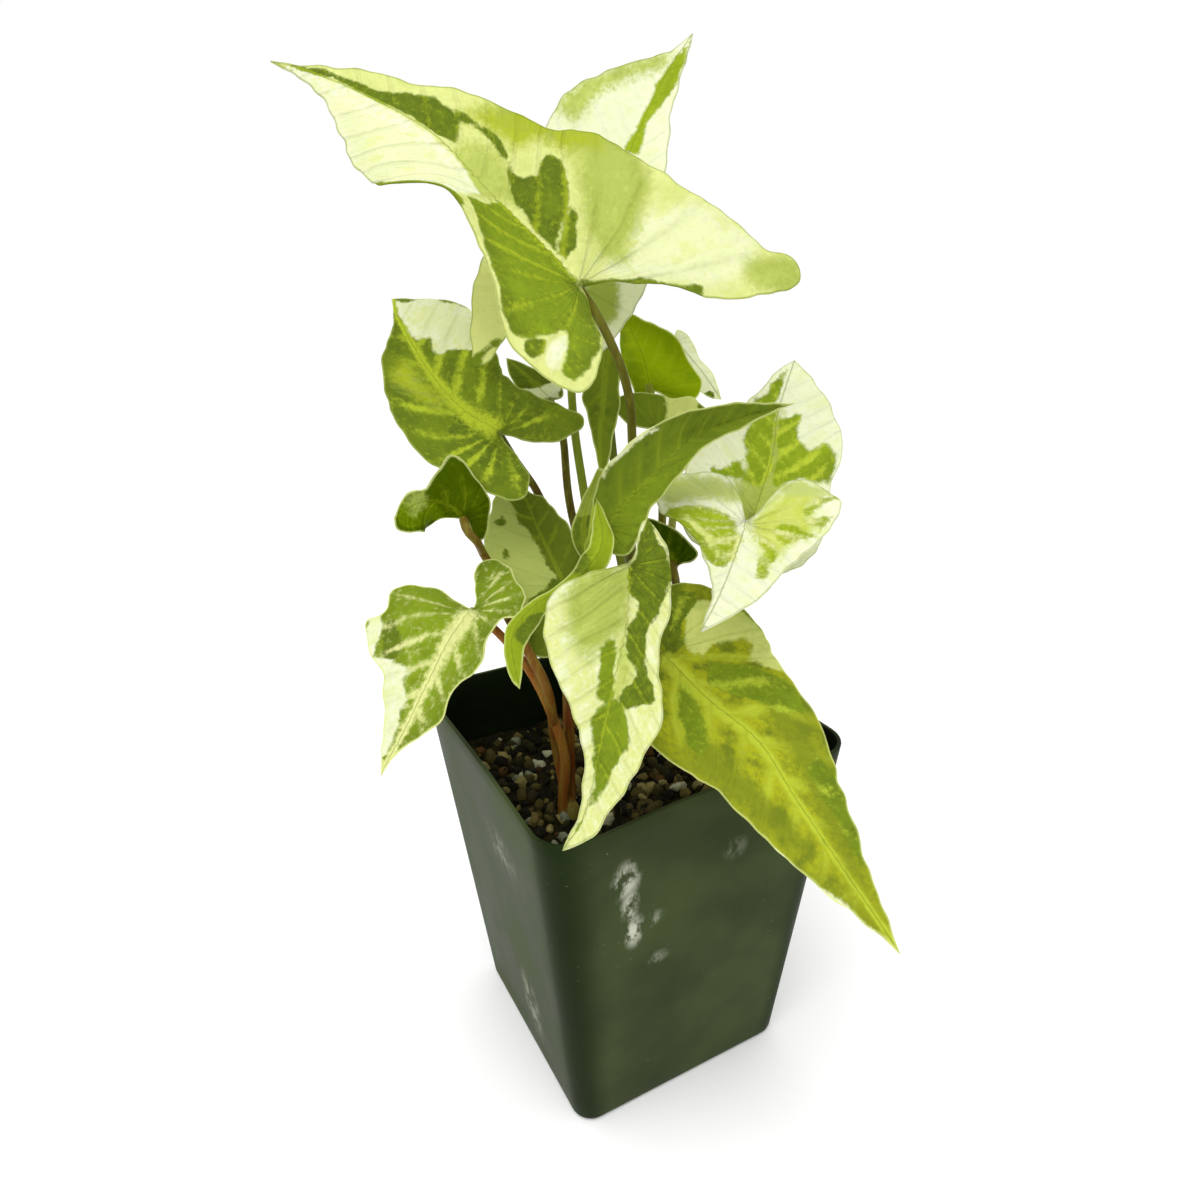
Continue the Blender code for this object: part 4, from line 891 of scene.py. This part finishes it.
# for each blade: way points of its stalk from the blade down to the crown, and the stalk's colour at
# its foot and under the blade
stalks = {
    "left": {
        "leaf_low_left": ([(-34, 3, 137), (-27, -3, 124), (-22, -7, 104)], "#7c4a1c", "#9c5c26"),
        "leaf_centre": ([(-17, 2, 131), (-18, -3, 114)], "#6a3012", "#6a4a18"),
        "leaf_left": ([(-17, 26, 174), (-10, 28, 163), (-6, 28, 149), (-9, 17, 122)], "#7a4a1c", "#4c4a12"),
        "leaf_left_dark": ([(-38, 8, 163), (-35, 10, 159), (-32, 15, 154), (-31, 14, 151), (-32, 3, 143),
            (-31, -6, 137), (-28, -12, 126), (-22, -2, 104)], "#7a451a", "#64501c"),
    },
    "middle": {
        "leaf_top": ([(-6, -3, 210), (0, -3, 197), (3, -1, 183), (3, 0, 150)], "#4a4a12", "#56520f"),
        "leaf_back_top": ([(0, 25, 205), (-2, 21, 185), (-2, 16, 165), (0, 9, 130)], "#4c5c14", "#7f9222"),
        "leaf_front": ([(-12, -26, 154), (-8, -17, 131), (0, -4, 106)], "#6e3414", "#9a6a30"),
        "leaf_long": ([(-8, -14, 157), (-3, -9, 138), (2, 0, 108)], "#4a4412", "#6c7420"),
        "leaf_young": ([(-17.0, -18.5, 169.5), (-17.5, -18.0, 165.5), (-15.5, -13.0, 157.5), (-1, 0, 125)],
            "#566014", "#8a9a2a"),
        "leaf_low_right": ([(-3, -23, 128), (1, -12, 116)], "#5c3412", "#9c6a2e"),
        "leaf_behind_left": ([(-1, 30, 178), (-3, 22, 158), (1, 12, 125)], "#4a3a12", "#5a5416"),
        "leaf_small_pale": ([(-8, -2, 145), (-2, 3, 120)], "#4a3810", "#6a5a1c"),
    },
    "back": {
        "leaf_right_front": ([(20, -21, 155), (19, -8, 130)], "#56561a", "#8a8a34"),
        "leaf_right_back": ([(29, -11, 149), (25, 0, 122)], "#5a4a16", "#a09048"),
        "leaf_olive": ([(23, 21, 184), (24, 21, 176), (26, 21, 164), (23, 19, 125)], "#4c5214", "#6f7a1e"),
        "leaf_back_low": ([(17, 10, 175), (20, 12, 155), (18, 14, 120)], "#4a4a14", "#6a6a20"),
        "leaf_grey": ([(8, 20, 188), (9, 18, 165), (13, 17, 120)], "#3f4a10", "#5c6a1a"),
        "leaf_cream_back": ([(41, 38, 185), (34, 28, 150)], "#5a5a20", "#a8ac5a"),
        "leaf_dark_behind": ([(9, -12, 143), (13, 2, 118)], "#3c3a10", "#5a4a18"),
    },
}


def stalkTree():
    # a round tube along each line, as wide as its points say
    tree, given = newTree("stalkTube", Sides="Int", Material="Material")
    node = partial(addNode, tree)
    radius = node("GeometryNodeInputNamedAttribute", {"Name": "stalkRadius"}, data_type="FLOAT")
    path = node("GeometryNodeMeshToCurve", (given["Geometry"],))
    ring = node("GeometryNodeCurvePrimitiveCircle", {"Resolution": given["Sides"], "Radius": 1.0},
                mode="RADIUS")
    tube = node("GeometryNodeCurveToMesh", {"Curve": path, "Profile Curve": ring, "Scale": radius,
                                            "Fill Caps": True})
    whole = node("GeometryNodeRealizeInstances", (tube,))
    coat = node("GeometryNodeSetMaterial", {0: whole, "Material": given["Material"]})
    node("NodeGroupOutput", (coat,))
    return tree


def stalkPath(blade, route, crown):
    # from its foot in the mix, through its way points, to just under the root of its blade
    look = stalkLook
    x, y = crowns[crown]
    lean = unit(np.array(route[-1][:2], float) - (x, y))
    foot = (x + lean[0] * look["crownSpread"], y + lean[1] * look["crownSpread"])
    root = bladeSurface(leaves[blade], np.array([(0.0, 0.0), (1.0, 0.0), (0.0, 0.01)]))
    ahead, across = unit(root[1] - root[0]), unit(root[2] - root[0])
    under = root[0] - unit(np.cross(across, ahead)) * look["endUnder"] + ahead * look["endAhead"]
    low = [(*foot, look["crown"][0][0]), (*foot, look["crownTop"] + 4)]
    return spline(low + route[::-1] + [tuple(under)], look["step"])


def stalkMaterial():
    # fresh leaf stalk, grown: smooth and waxy, streaked along its length, paler where it meets the blade
    material, tree, shader = newMaterial("waxy_leaf_stalk")
    node, lumps = partial(addNode, tree), partial(patchy, tree)
    fade, mixed = partial(node, "MapRange", **smooth), partial(node, "Mix", out=2, **blend)
    place = node("TexCoord", (), "Object")
    tint = node("Attribute", (), "Color", attribute_name="stalkTint", attribute_type="GEOMETRY")
    streak = lumps(place, 1.2 * mm, 3.0, 0.6, (1, 1, 0.12))
    speck = node("Math", (fade((lumps(place, 0.8 * mm, 2.0, 0.7), 0.6, 0.75)), 0.35), **times)
    paler = mixed({0: 0.25, 6: tint, 7: linear(stalkLook["streakTone"])})
    colour = mixed({0: fade((streak, 0.35, 0.7)), 6: tint, 7: paler})
    colour = mixed({0: speck, 6: colour, 7: linear(stalkLook["speckTone"])})
    dress(tree, shader, {"Base Color": colour, "Roughness": 0.42, "IOR": 1.42, "Specular IOR Level": 0.1,
                         "Subsurface Weight": 0.1, "Subsurface Scale": 0.001}, streak, 0.4, 0.2 * mm)
    return material


def buildStalks(crown, routes, tree, material):
    # the stalks of one shoot and the short post that they grow from, as lines that become tubes
    look = stalkLook
    verts, edges, radii, tints = [], [], [], []
    for blade, (route, footTone, endTone) in routes.items():
        line = stalkPath(blade, route, crown)
        share = np.linspace(0, 1, len(line))
        width = look["footRadius"] + (look["endRadius"] - look["footRadius"]) * share
        width *= 1 + look["collar"] * np.exp(-((1 - share) * len(line) / 3)**2)
        radii += list(width * mm)
        low, high = np.array(linear(footTone)), np.array(linear(endTone))
        tints += [low + (high - low) * s**1.3 for s in share]
        edges += [(i, i + 1) for i in range(len(verts), len(verts) + len(line) - 1)]
        verts += list(line)
    post = look["crown"]
    edges += [(i, i + 1) for i in range(len(verts), len(verts) + len(post) - 1)]
    verts += [(*crowns[crown], height) for height, radius in post]
    radii += [radius * mm for height, radius in post]
    tints += [np.array(linear(look["crownTone"]))] * len(post)
    ob = meshObject("shoot_" + crown, verts, [], edges)
    floatLayer(ob.data, "stalkRadius", radii)
    layer = ob.data.attributes.new("stalkTint", "FLOAT_COLOR", "POINT")
    layer.data.foreach_set("color", np.array(tints, np.float32).ravel())
    grownBy(ob, tree, Sides=look["sides"], Material=material)
    finished(ob, "stalks_" + crown, look["edgeAngle"])


tubeTree = stalkTree()
stalkSkin = stalkMaterial()
for crown, routes in stalks.items():
    buildStalks(crown, routes, tubeTree, stalkSkin)
print("stage: leaf stalks")


potLook = dict(           # mm
    height=105.0, topSide=89.0, bottomSide=68.0, wall=1.2, floor=1.8,
    cornerTop=9.5, cornerBottom=6.0, cornerLeast=0.8,
    lip=0.4,              # mm, round of the rim
    foot=2.0,             # mm, height of the round at the foot
    bow=2.4,              # mm that the front right wall is pressed in at the rim
    slack=0.5,            # mm that the other walls bow
    drainRadius=3.5, drainOffset=21.0, drainSides=32,
    cornerSteps=10, sideSteps=18, rings=24,
    # the inner tones are the same plastic made nearly black as painted shade inside the pot
    outer=("#3e4929", "#2e371d"), inner=("#141f0b", "#0a1105"),     # light and dark tone
    # painted shade: the dark tone laid along the pot's upright corners, where the light falls off
    cornerShadeTone="#142008", markTone="#c2c4b2",
    shine=0.03, innerShine=0.1,
    edgeAngle=35,
    scuffs=[              # dried marks: place, size, strength
        ((-23.5, -42.6, 88.0), (5.4, 6.0, 8.0), 0.85),
        ((-22.3, -42.0, 79.0), (3.4, 6.0, 8.0), 0.8),
        ((-20.6, -41.2, 70.0), (3.8, 6.0, 7.0), 0.95),
        ((-15.5, -41.2, 71.5), (4.5, 6.0, 3.6), 0.35),
        ((-13.0, -39.5, 57.0), (4.5, 6.0, 3.0), 0.3),
        ((9.0, -43.0, 84.0), (5.0, 6.0, 5.0), 0.2),
        ((-36.5, -8.0, 23.0), (6.0, 8.0, 19.0), 0.4),
        ((-42.1, -8.0, 80.5), (6.0, 14.0, 8.0), 0.3),
    ],
)


def potSection(height, inset):
    # half the side and the corner radius of the pot at a height
    look = potLook
    share = height / look["height"]
    half = (look["bottomSide"] + (look["topSide"] - look["bottomSide"]) * share) / 2 - inset
    return half, look["cornerBottom"] + (look["cornerTop"] - look["cornerBottom"]) * share - inset


def potRing(height, inset):
    # one level outline of the pot, a corner and a bowed side at a time
    look = potLook
    half, corner = potSection(height, inset)
    corner = max(corner, look["cornerLeast"])
    ring = []
    for quarter in range(4):
        turn = math.radians(90 * quarter)
        c, s = math.cos(turn), math.sin(turn)
        local = []
        for i in range(look["cornerSteps"] + 1):
            a = math.radians(90 * i / look["cornerSteps"])
            local.append((half - corner + corner * math.cos(a), half - corner + corner * math.sin(a)))
        for i in range(1, look["sideSteps"]):
            t = i / look["sideSteps"]
            bowed = look["bow"] if quarter == 2 else look["slack"]
            dent = bowed * math.sin(math.pi * t)**1.5 * (height / look["height"])**3
            local.append(((half - corner) * (1 - 2 * t), half - dent))
        ring += [(c * x - s * y, s * x + c * y, height) for x, y in local]
    return ring


def facesBetween(n, k):
    # the faces between ring k and the next, rings of n points each
    return [(k * n + i, k * n + (i + 1) % n, (k + 1) * n + (i + 1) % n, (k + 1) * n + i) for i in range(n)]


def drillObject(look):
    # four round bars through the floor
    verts, faces = [], []
    sides, radius = look["drainSides"], look["drainRadius"]
    for x in (-look["drainOffset"], look["drainOffset"]):
        for y in (-look["drainOffset"], look["drainOffset"]):
            start = len(verts)
            turns = [2 * math.pi * i / sides for i in range(sides)]
            verts += [(x + radius * math.cos(a), y + radius * math.sin(a), z)
                      for z in (-2, look["floor"] + 2) for a in turns]
            faces.append(tuple(start + i for i in reversed(range(sides))))
            faces.append(tuple(start + sides + i for i in range(sides)))
            faces += [tuple(start + i for i in face) for face in facesBetween(sides, 0)]
    return meshObject("drill", verts, faces)


def buildPot():
    look = potLook
    top, foot, lip, wall, floor = [look[key] for key in ("height", "foot", "lip", "wall", "floor")]
    steps = [i / look["rings"] for i in range(1, look["rings"] + 1)]
    profile = [(0, 3.2), (0, 1.8), (0.3, 0.7), (1.0, 0.2), (foot, 0)]       # height and inset
    profile += [(foot + (top - lip - foot) * t, 0) for t in steps]
    profile += [(top - 0.12, 0.12), (top, lip), (top, wall - lip), (top - 0.12, wall - 0.12),
                (top - lip, wall)]
    profile += [(top - lip - (top - lip - floor - 1.5) * t, wall) for t in steps]
    profile += [(floor + 0.4, wall + 0.5), (floor, wall + 1.6)]
    rings = [potRing(height, inset) for height, inset in profile]
    n = len(rings[0])
    polys = [face for k in range(len(rings) - 1) for face in facesBetween(n, k)]
    polys += [tuple(reversed(range(n))), tuple(range((len(rings) - 1) * n, len(rings) * n))]
    pot = meshObject("nursery_pot_shell", [p for ring in rings for p in ring], polys)
    pot.data.materials.append(potMaterial("moulded_green_polypropylene", look["outer"], True, look["shine"]))
    # painted shade: the inner wall gets a darker copy of the plastic, standing in for the shade inside the
    # pot
    pot.data.materials.append(potMaterial("green_polypropylene_inner_wall_painted_shade", look["inner"], False,
                                          look["innerShine"]))
    inner = (look["rings"] + 8) * n       # from the inner edge of the rim on
    for face in pot.data.polygons:
        if min(face.vertices) >= inner:
            face.material_index = 1
    drill = drillObject(look)
    cut = pot.modifiers.new("drainHoles", "BOOLEAN")
    cut.operation = "DIFFERENCE"
    cut.object = drill
    cut.solver = "EXACT"
    settled(pot)
    bpy.data.objects.remove(drill)
    finished(pot, "pot", look["edgeAngle"])


def nearSpot(tree, place, spot, size):
    # 1 at a place on the pot, fading to 0 over size (both in mm)
    away = addNode(tree, "VectorMath", (place, tuple(v * mm for v in spot)), **minus)
    fitted = addNode(tree, "VectorMath", (away, tuple(1 / (v * mm) for v in size)), **times)
    far = addNode(tree, "VectorMath", (fitted,), "Value", operation="LENGTH")
    return addNode(tree, "MapRange", (far, 0.2, 1.0, 1.0, 0.0), **smooth)


def potMaterial(name, tones, scuffed, shine):
    # polypropylene, injection moulded: dark green with a satin skin that mirrors softly at a low
    #  angle, cloudy wear, and dried chalky water marks where it was handled; the upright corners are
    #  darkened as painted shade
    look = potLook
    material, tree, shader = newMaterial(name)
    node, lumps = partial(addNode, tree), partial(patchy, tree)
    sums, fade = partial(node, "Math"), partial(node, "MapRange", **smooth)
    mixed = partial(node, "Mix", out=2, **blend)
    place = node("TexCoord", (), "Object")
    streak = lumps(place, 6 * mm, 3.0, 0.55, (1, 1, 0.15))
    cloud = lumps(place, 25 * mm, 3.0, 0.6)
    colour = mixed({0: fade((cloud, 0.3, 0.72)), 6: linear(tones[1]), 7: linear(tones[0])})
    rough = fade((cloud, 0.3, 0.7, 0.36, 0.5))
    if scuffed:
        x, y, z = [node("SeparateXYZ", (place,), axis) for axis in "XYZ"]
        fromMiddle = sums((sums((x,), operation="ABSOLUTE"), sums((y,), operation="ABSOLUTE")),
                          operation="MINIMUM")
        slope = (look["topSide"] - look["bottomSide"]) / 2 / look["height"]
        half = sums((z, slope, look["bottomSide"] / 2 * mm), **timesPlus)
        # painted shade: the outer wall darkens towards the corner tone near its upright corners
        corner = fade((sums((fromMiddle, half), operation="DIVIDE"), 0.7, 0.93, 0.0, 0.85))
        colour = mixed({0: corner, 6: colour, 7: linear(look["cornerShadeTone"])})
        smear = lumps(place, 2.6 * mm, 5.0, 0.75, (1, 1, 0.55))
        smeared = fade((smear, 0.42, 0.6))
        marks = sums((fade((lumps(place, 1.1 * mm, 4.0, 0.75), 0.66, 0.78)), 0.35), **times)
        for spot, size, strength in look["scuffs"]:
            near = sums((nearSpot(tree, place, spot, size), strength), **times)
            marks = sums((marks, sums((near, smeared), **times)), **larger)
        colour = mixed({0: marks, 6: colour, 7: linear(look["markTone"])})
        rough = sums((marks, 0.35, rough), **timesPlus)
    relief = sums((lumps(place, 0.7 * mm, 2.0, 0.6), 0.12, streak), **timesPlus)
    dress(tree, shader, {"Base Color": colour, "Roughness": rough, "IOR": 1.49, "Specular IOR Level": shine},
          relief, 0.2, 0.3 * mm)
    return material


buildPot()
print("stage: pot")


mixLook = dict(
    top=84.0, foot=2.1, inset=1.6, swell=0.6,       # mm
    roughness=0.9,        # mm, lumps of the top
    dent=1.2,             # mm that the bowed wall presses the mix in
    cells=84,
    clearCells=3,         # cells along the wall that take no grain, so that none pokes through it
    grainsPerCm2=14.0,
    grainSmall=0.7, grainLarge=2.5,     # mm, radius
    grainLumps=2.1,       # mm, how far lumps push a grain's skin
    seed=11,
    # the peat tones are near black partly as painted shade of the gaps between the grains
    peat=("#090802", "#262209"), pitTone="#2a2610",
    grainTones=[          # where each tone of the grains begins, from 0 to 1
        (0.0, "#121108"), (0.34, "#2a2610"), (0.52, "#453e1c"), (0.68, "#62572c"), (0.79, "#4e3618"),
        (0.84, "#7c7344"), (0.92, "#6f745c"), (0.97, "#a3a384"),
    ],
    edgeAngle=80,
)


def mixHeight(x, y):
    # two slow waves and fractal lumps, with pitches in mm
    waves = math.sin(x * 0.21 + 0.6) * math.cos(y * 0.17) + math.sin((x - y) * 0.13)
    lump = hills.fractal(Vector((x * 0.35, y * 0.35, 3.0)), 1.0, 2.0, 4)
    return mixLook["top"] + mixLook["swell"] * 0.5 * waves + mixLook["roughness"] * lump


def toRound(u, v, half, corner):
    # a square grid point moved to the rounded square
    x, y = u * half, v * half
    a = math.atan2(y, x)
    ax, ay = abs(math.cos(a)), abs(math.sin(a))
    reach = half / max(ax, ay)
    flat = half - corner
    if reach * ax > flat and reach * ay > flat:
        b = flat * ax + flat * ay
        reach = b + math.sqrt(max(b * b - (2 * flat * flat - corner * corner), 0))
    k = max(abs(x), abs(y)) / half * reach / max(math.hypot(x, y), 1e-9)
    return x * k, y * k


def buildMix():
    # a lumpy top on a grid, walls down to the floor of the pot, and the loose grains
    look = mixLook
    half, corner = potSection(look["top"], look["inset"])
    n = look["cells"]
    verts, polys = [], []
    for i in range(n + 1):
        for j in range(n + 1):
            x, y = toRound(2 * i / n - 1, 2 * j / n - 1, half, corner)
            if abs(x) < half:
                y = max(y, -half + look["dent"] * math.cos(math.pi * x / (2 * half))**1.5)
            verts.append((x, y, mixHeight(x, y)))
    for i in range(n):
        for j in range(n):
            a = i * (n + 1) + j
            polys.append((a, a + n + 1, a + n + 2, a + 1))
    rim = [i * (n + 1) for i in range(n)] + [n * (n + 1) + j for j in range(n)]
    rim += [i * (n + 1) + n for i in range(n, 0, -1)] + [j for j in range(n, 0, -1)]
    shrink = (potLook["bottomSide"] / 2 - look["inset"]) / half
    start, m = len(verts), len(rim)
    verts += [(verts[k][0] * shrink, verts[k][1] * shrink, look["foot"]) for k in rim]
    polys += [(rim[(k + 1) % m], rim[k], start + k, start + (k + 1) % m) for k in range(m)]
    polys.append(tuple(start + k for k in reversed(range(m))))
    mix = meshObject("potting_mix", verts, polys)
    mix.data.materials.append(mixMaterial())
    clear = look["clearCells"]
    middle = [polys[i * n + j] for i in range(clear, n - clear) for j in range(clear, n - clear)]
    ground = meshObject("mix_grains", verts[:(n + 1)**2], middle)
    grownBy(ground, grainTree(), Density=look["grainsPerCm2"] * 1e4, Smallest=look["grainSmall"] * mm,
            Largest=look["grainLarge"] * mm, Lumps=look["grainLumps"] * mm, Seed=look["seed"],
            Material=grainMaterial())
    finished(mix, "soil", look["edgeAngle"])
    finished(ground, None, look["edgeAngle"])
    print("stage: potting mix,", len(ground.data.polygons), "faces of grains")


def grainTree():
    # grains strewn on the surface, each turned, sized and flattened by chance, then made lumpy
    tree, given = newTree("mixGrains", Density="Float", Smallest="Float", Largest="Float", Lumps="Float",
                          Seed="Int", Material="Material")
    node = partial(addNode, tree)
    chance, vectors = partial(node, "FunctionNodeRandomValue"), dict(data_type="FLOAT_VECTOR")
    spots = node("GeometryNodeDistributePointsOnFaces",
                 {"Mesh": given["Geometry"], "Density": given["Density"], "Seed": given["Seed"]},
                 distribute_method="RANDOM")
    tint = chance({"Seed": 3}, 1, data_type="FLOAT")
    marked = node("GeometryNodeStoreNamedAttribute", {"Geometry": spots, "Name": "grainTint", "Value": tint},
                  data_type="FLOAT", domain="POINT")
    turn = chance({0: (0, 0, 0), 1: (6.28, 6.28, 6.28), "Seed": 5}, **vectors)
    size = chance({2: given["Smallest"], 3: given["Largest"], "Seed": 7}, 1, data_type="FLOAT")
    shape = chance({0: (0.75, 0.6, 0.5), 1: (1.35, 1.0, 0.95), "Seed": 9}, **vectors)
    scale = node("VectorMath", {0: shape, "Scale": size}, operation="SCALE")
    pebble = node("GeometryNodeMeshUVSphere", {"Segments": 8, "Rings": 6, "Radius": 1.0})
    laid = node("GeometryNodeInstanceOnPoints",
                {"Points": marked, "Instance": pebble, "Scale": scale,
                 "Rotation": node("FunctionNodeEulerToRotation", (turn,))})
    whole = node("GeometryNodeRealizeInstances", (laid,))
    lumps = node("TexNoise", {"Vector": node("GeometryNodeInputPosition"), "Scale": 420.0, "Detail": 1.0}, 1)
    push = node("VectorMath", (lumps, (0.5, 0.5, 0.5)), **minus)
    push = node("VectorMath", {0: push, "Scale": given["Lumps"]}, operation="SCALE")
    bent = node("GeometryNodeSetPosition", {"Geometry": whole, "Offset": push})
    coat = node("GeometryNodeSetMaterial", {0: bent, "Material": given["Material"]})
    node("NodeGroupOutput", (coat,))
    return tree


def mixMaterial():
    # peat and coir, loose and damp: dark and rough, with brown fibres; its near-black ground is partly
    # painted shade, standing in for the deep gaps between the grains
    material, tree, shader = newMaterial("damp_peat_and_coir_with_painted_gap_shade")
    lump = patchy(tree, addNode(tree, "TexCoord", (), "Object"), 1.8 * mm, 4.0, 0.7)
    dark, brown = [linear(tone) for tone in mixLook["peat"]]
    fibre = addNode(tree, "MapRange", (lump, 0.35, 0.7), **smooth)
    colour = addNode(tree, "Mix", {0: fibre, 6: dark, 7: brown}, 2, **blend)
    dress(tree, shader, {"Base Color": colour, "Roughness": 0.9, "Specular IOR Level": 0.08},
          lump, 1.0, 1.2 * mm)
    return material


def grainMaterial():
    # composted bark, pumice and perlite, crushed: dry matt grains from dark brown through tan to grey
    material, tree, shader = newMaterial("crushed_bark_and_pumice")
    tint = addNode(tree, "Attribute", (), "Fac", attribute_name="grainTint", attribute_type="GEOMETRY")
    tone = addNode(tree, "ValToRGB", (tint,))
    scale, steps = tone.node.color_ramp, mixLook["grainTones"]
    scale.interpolation = "CONSTANT"
    for spot, hexText in steps[2:]:
        scale.elements.new(spot)
    for element, (spot, hexText) in zip(scale.elements, steps):
        element.position = spot
        element.color = linear(hexText)
    pits = patchy(tree, addNode(tree, "TexCoord", (), "Object"), 0.7 * mm, 3.0, 0.7)
    pitted = addNode(tree, "MapRange", (pits, 0.5, 0.7, 0.0, 0.6), **smooth)
    colour = addNode(tree, "Mix", {0: pitted, 6: tone, 7: linear(mixLook["pitTone"])}, 2, **blend)
    dress(tree, shader, {"Base Color": colour, "Roughness": 0.82, "Specular IOR Level": 0.1},
          pits, 0.8, 0.4 * mm)
    return material


buildMix()


cameraLook = dict(
    place=(-103.1, -183.7, 228.4),           # mm
    right=(0.88023, -0.47400, -0.02289),
    up=(0.20283, 0.33218, 0.92115),
    lens=26.0, sensor=36.0,                  # mm
    nearest=0.005, farthest=50,              # m
)
lightLook = dict(
    surround="#ffffff", surroundStrength=1.0,
    key=6.0, keySize=0.7, keyPlace=(-0.35, -0.3, 1.1), keyAim=(0, 0, 0.13),     # watts and m
    floor="#ffffff", floorRoughness=0.8, floorSides=64, floorRings=(600.0, 4000.0),     # mm
)


def buildStudio():
    look, light = cameraLook, lightLook
    data = bpy.data.cameras.new("viewpoint")
    data.lens = look["lens"]
    data.sensor_width = look["sensor"]
    data.sensor_fit = "HORIZONTAL"
    data.clip_start = look["nearest"]
    data.clip_end = look["farthest"]
    camera = added("viewpoint", data)
    right, up = Vector(look["right"]).normalized(), Vector(look["up"]).normalized()
    turned = Matrix((right, up, right.cross(up))).transposed().to_4x4()
    camera.matrix_world = Matrix.Translation(Vector(look["place"]) * mm) @ turned
    bpy.context.scene.camera = camera

    n = light["floorSides"]
    turns = [2 * math.pi * i / n for i in range(n)]
    verts = [(r * math.cos(a), r * math.sin(a), 0) for r in light["floorRings"] for a in turns]
    floor = meshObject("studio_floor", verts, [tuple(range(n))] + facesBetween(n, 0))
    material, tree, shader = newMaterial("pale_matt_paper")
    shader.inputs["Base Color"].default_value = linear(light["floor"])
    shader.inputs["Roughness"].default_value = light["floorRoughness"]
    floor.data.materials.append(material)

    world = bpy.data.worlds.new("studio")
    bpy.context.scene.world = world
    world.use_nodes = True
    surround = world.node_tree.nodes["Background"]
    surround.inputs["Color"].default_value = linear(light["surround"])
    surround.inputs["Strength"].default_value = light["surroundStrength"]
    lamp = bpy.data.lights.new("key_softbox", "AREA")
    lamp.energy = light["key"]
    lamp.size = light["keySize"]
    softbox = added("key_softbox", lamp)
    softbox.location = light["keyPlace"]
    aim = Vector(light["keyAim"]) - softbox.location
    softbox.rotation_euler = aim.to_track_quat("-Z", "Y").to_euler()
    bpy.context.scene.view_settings.view_transform = "Standard"


buildStudio()
print("stage: camera, floor and light")
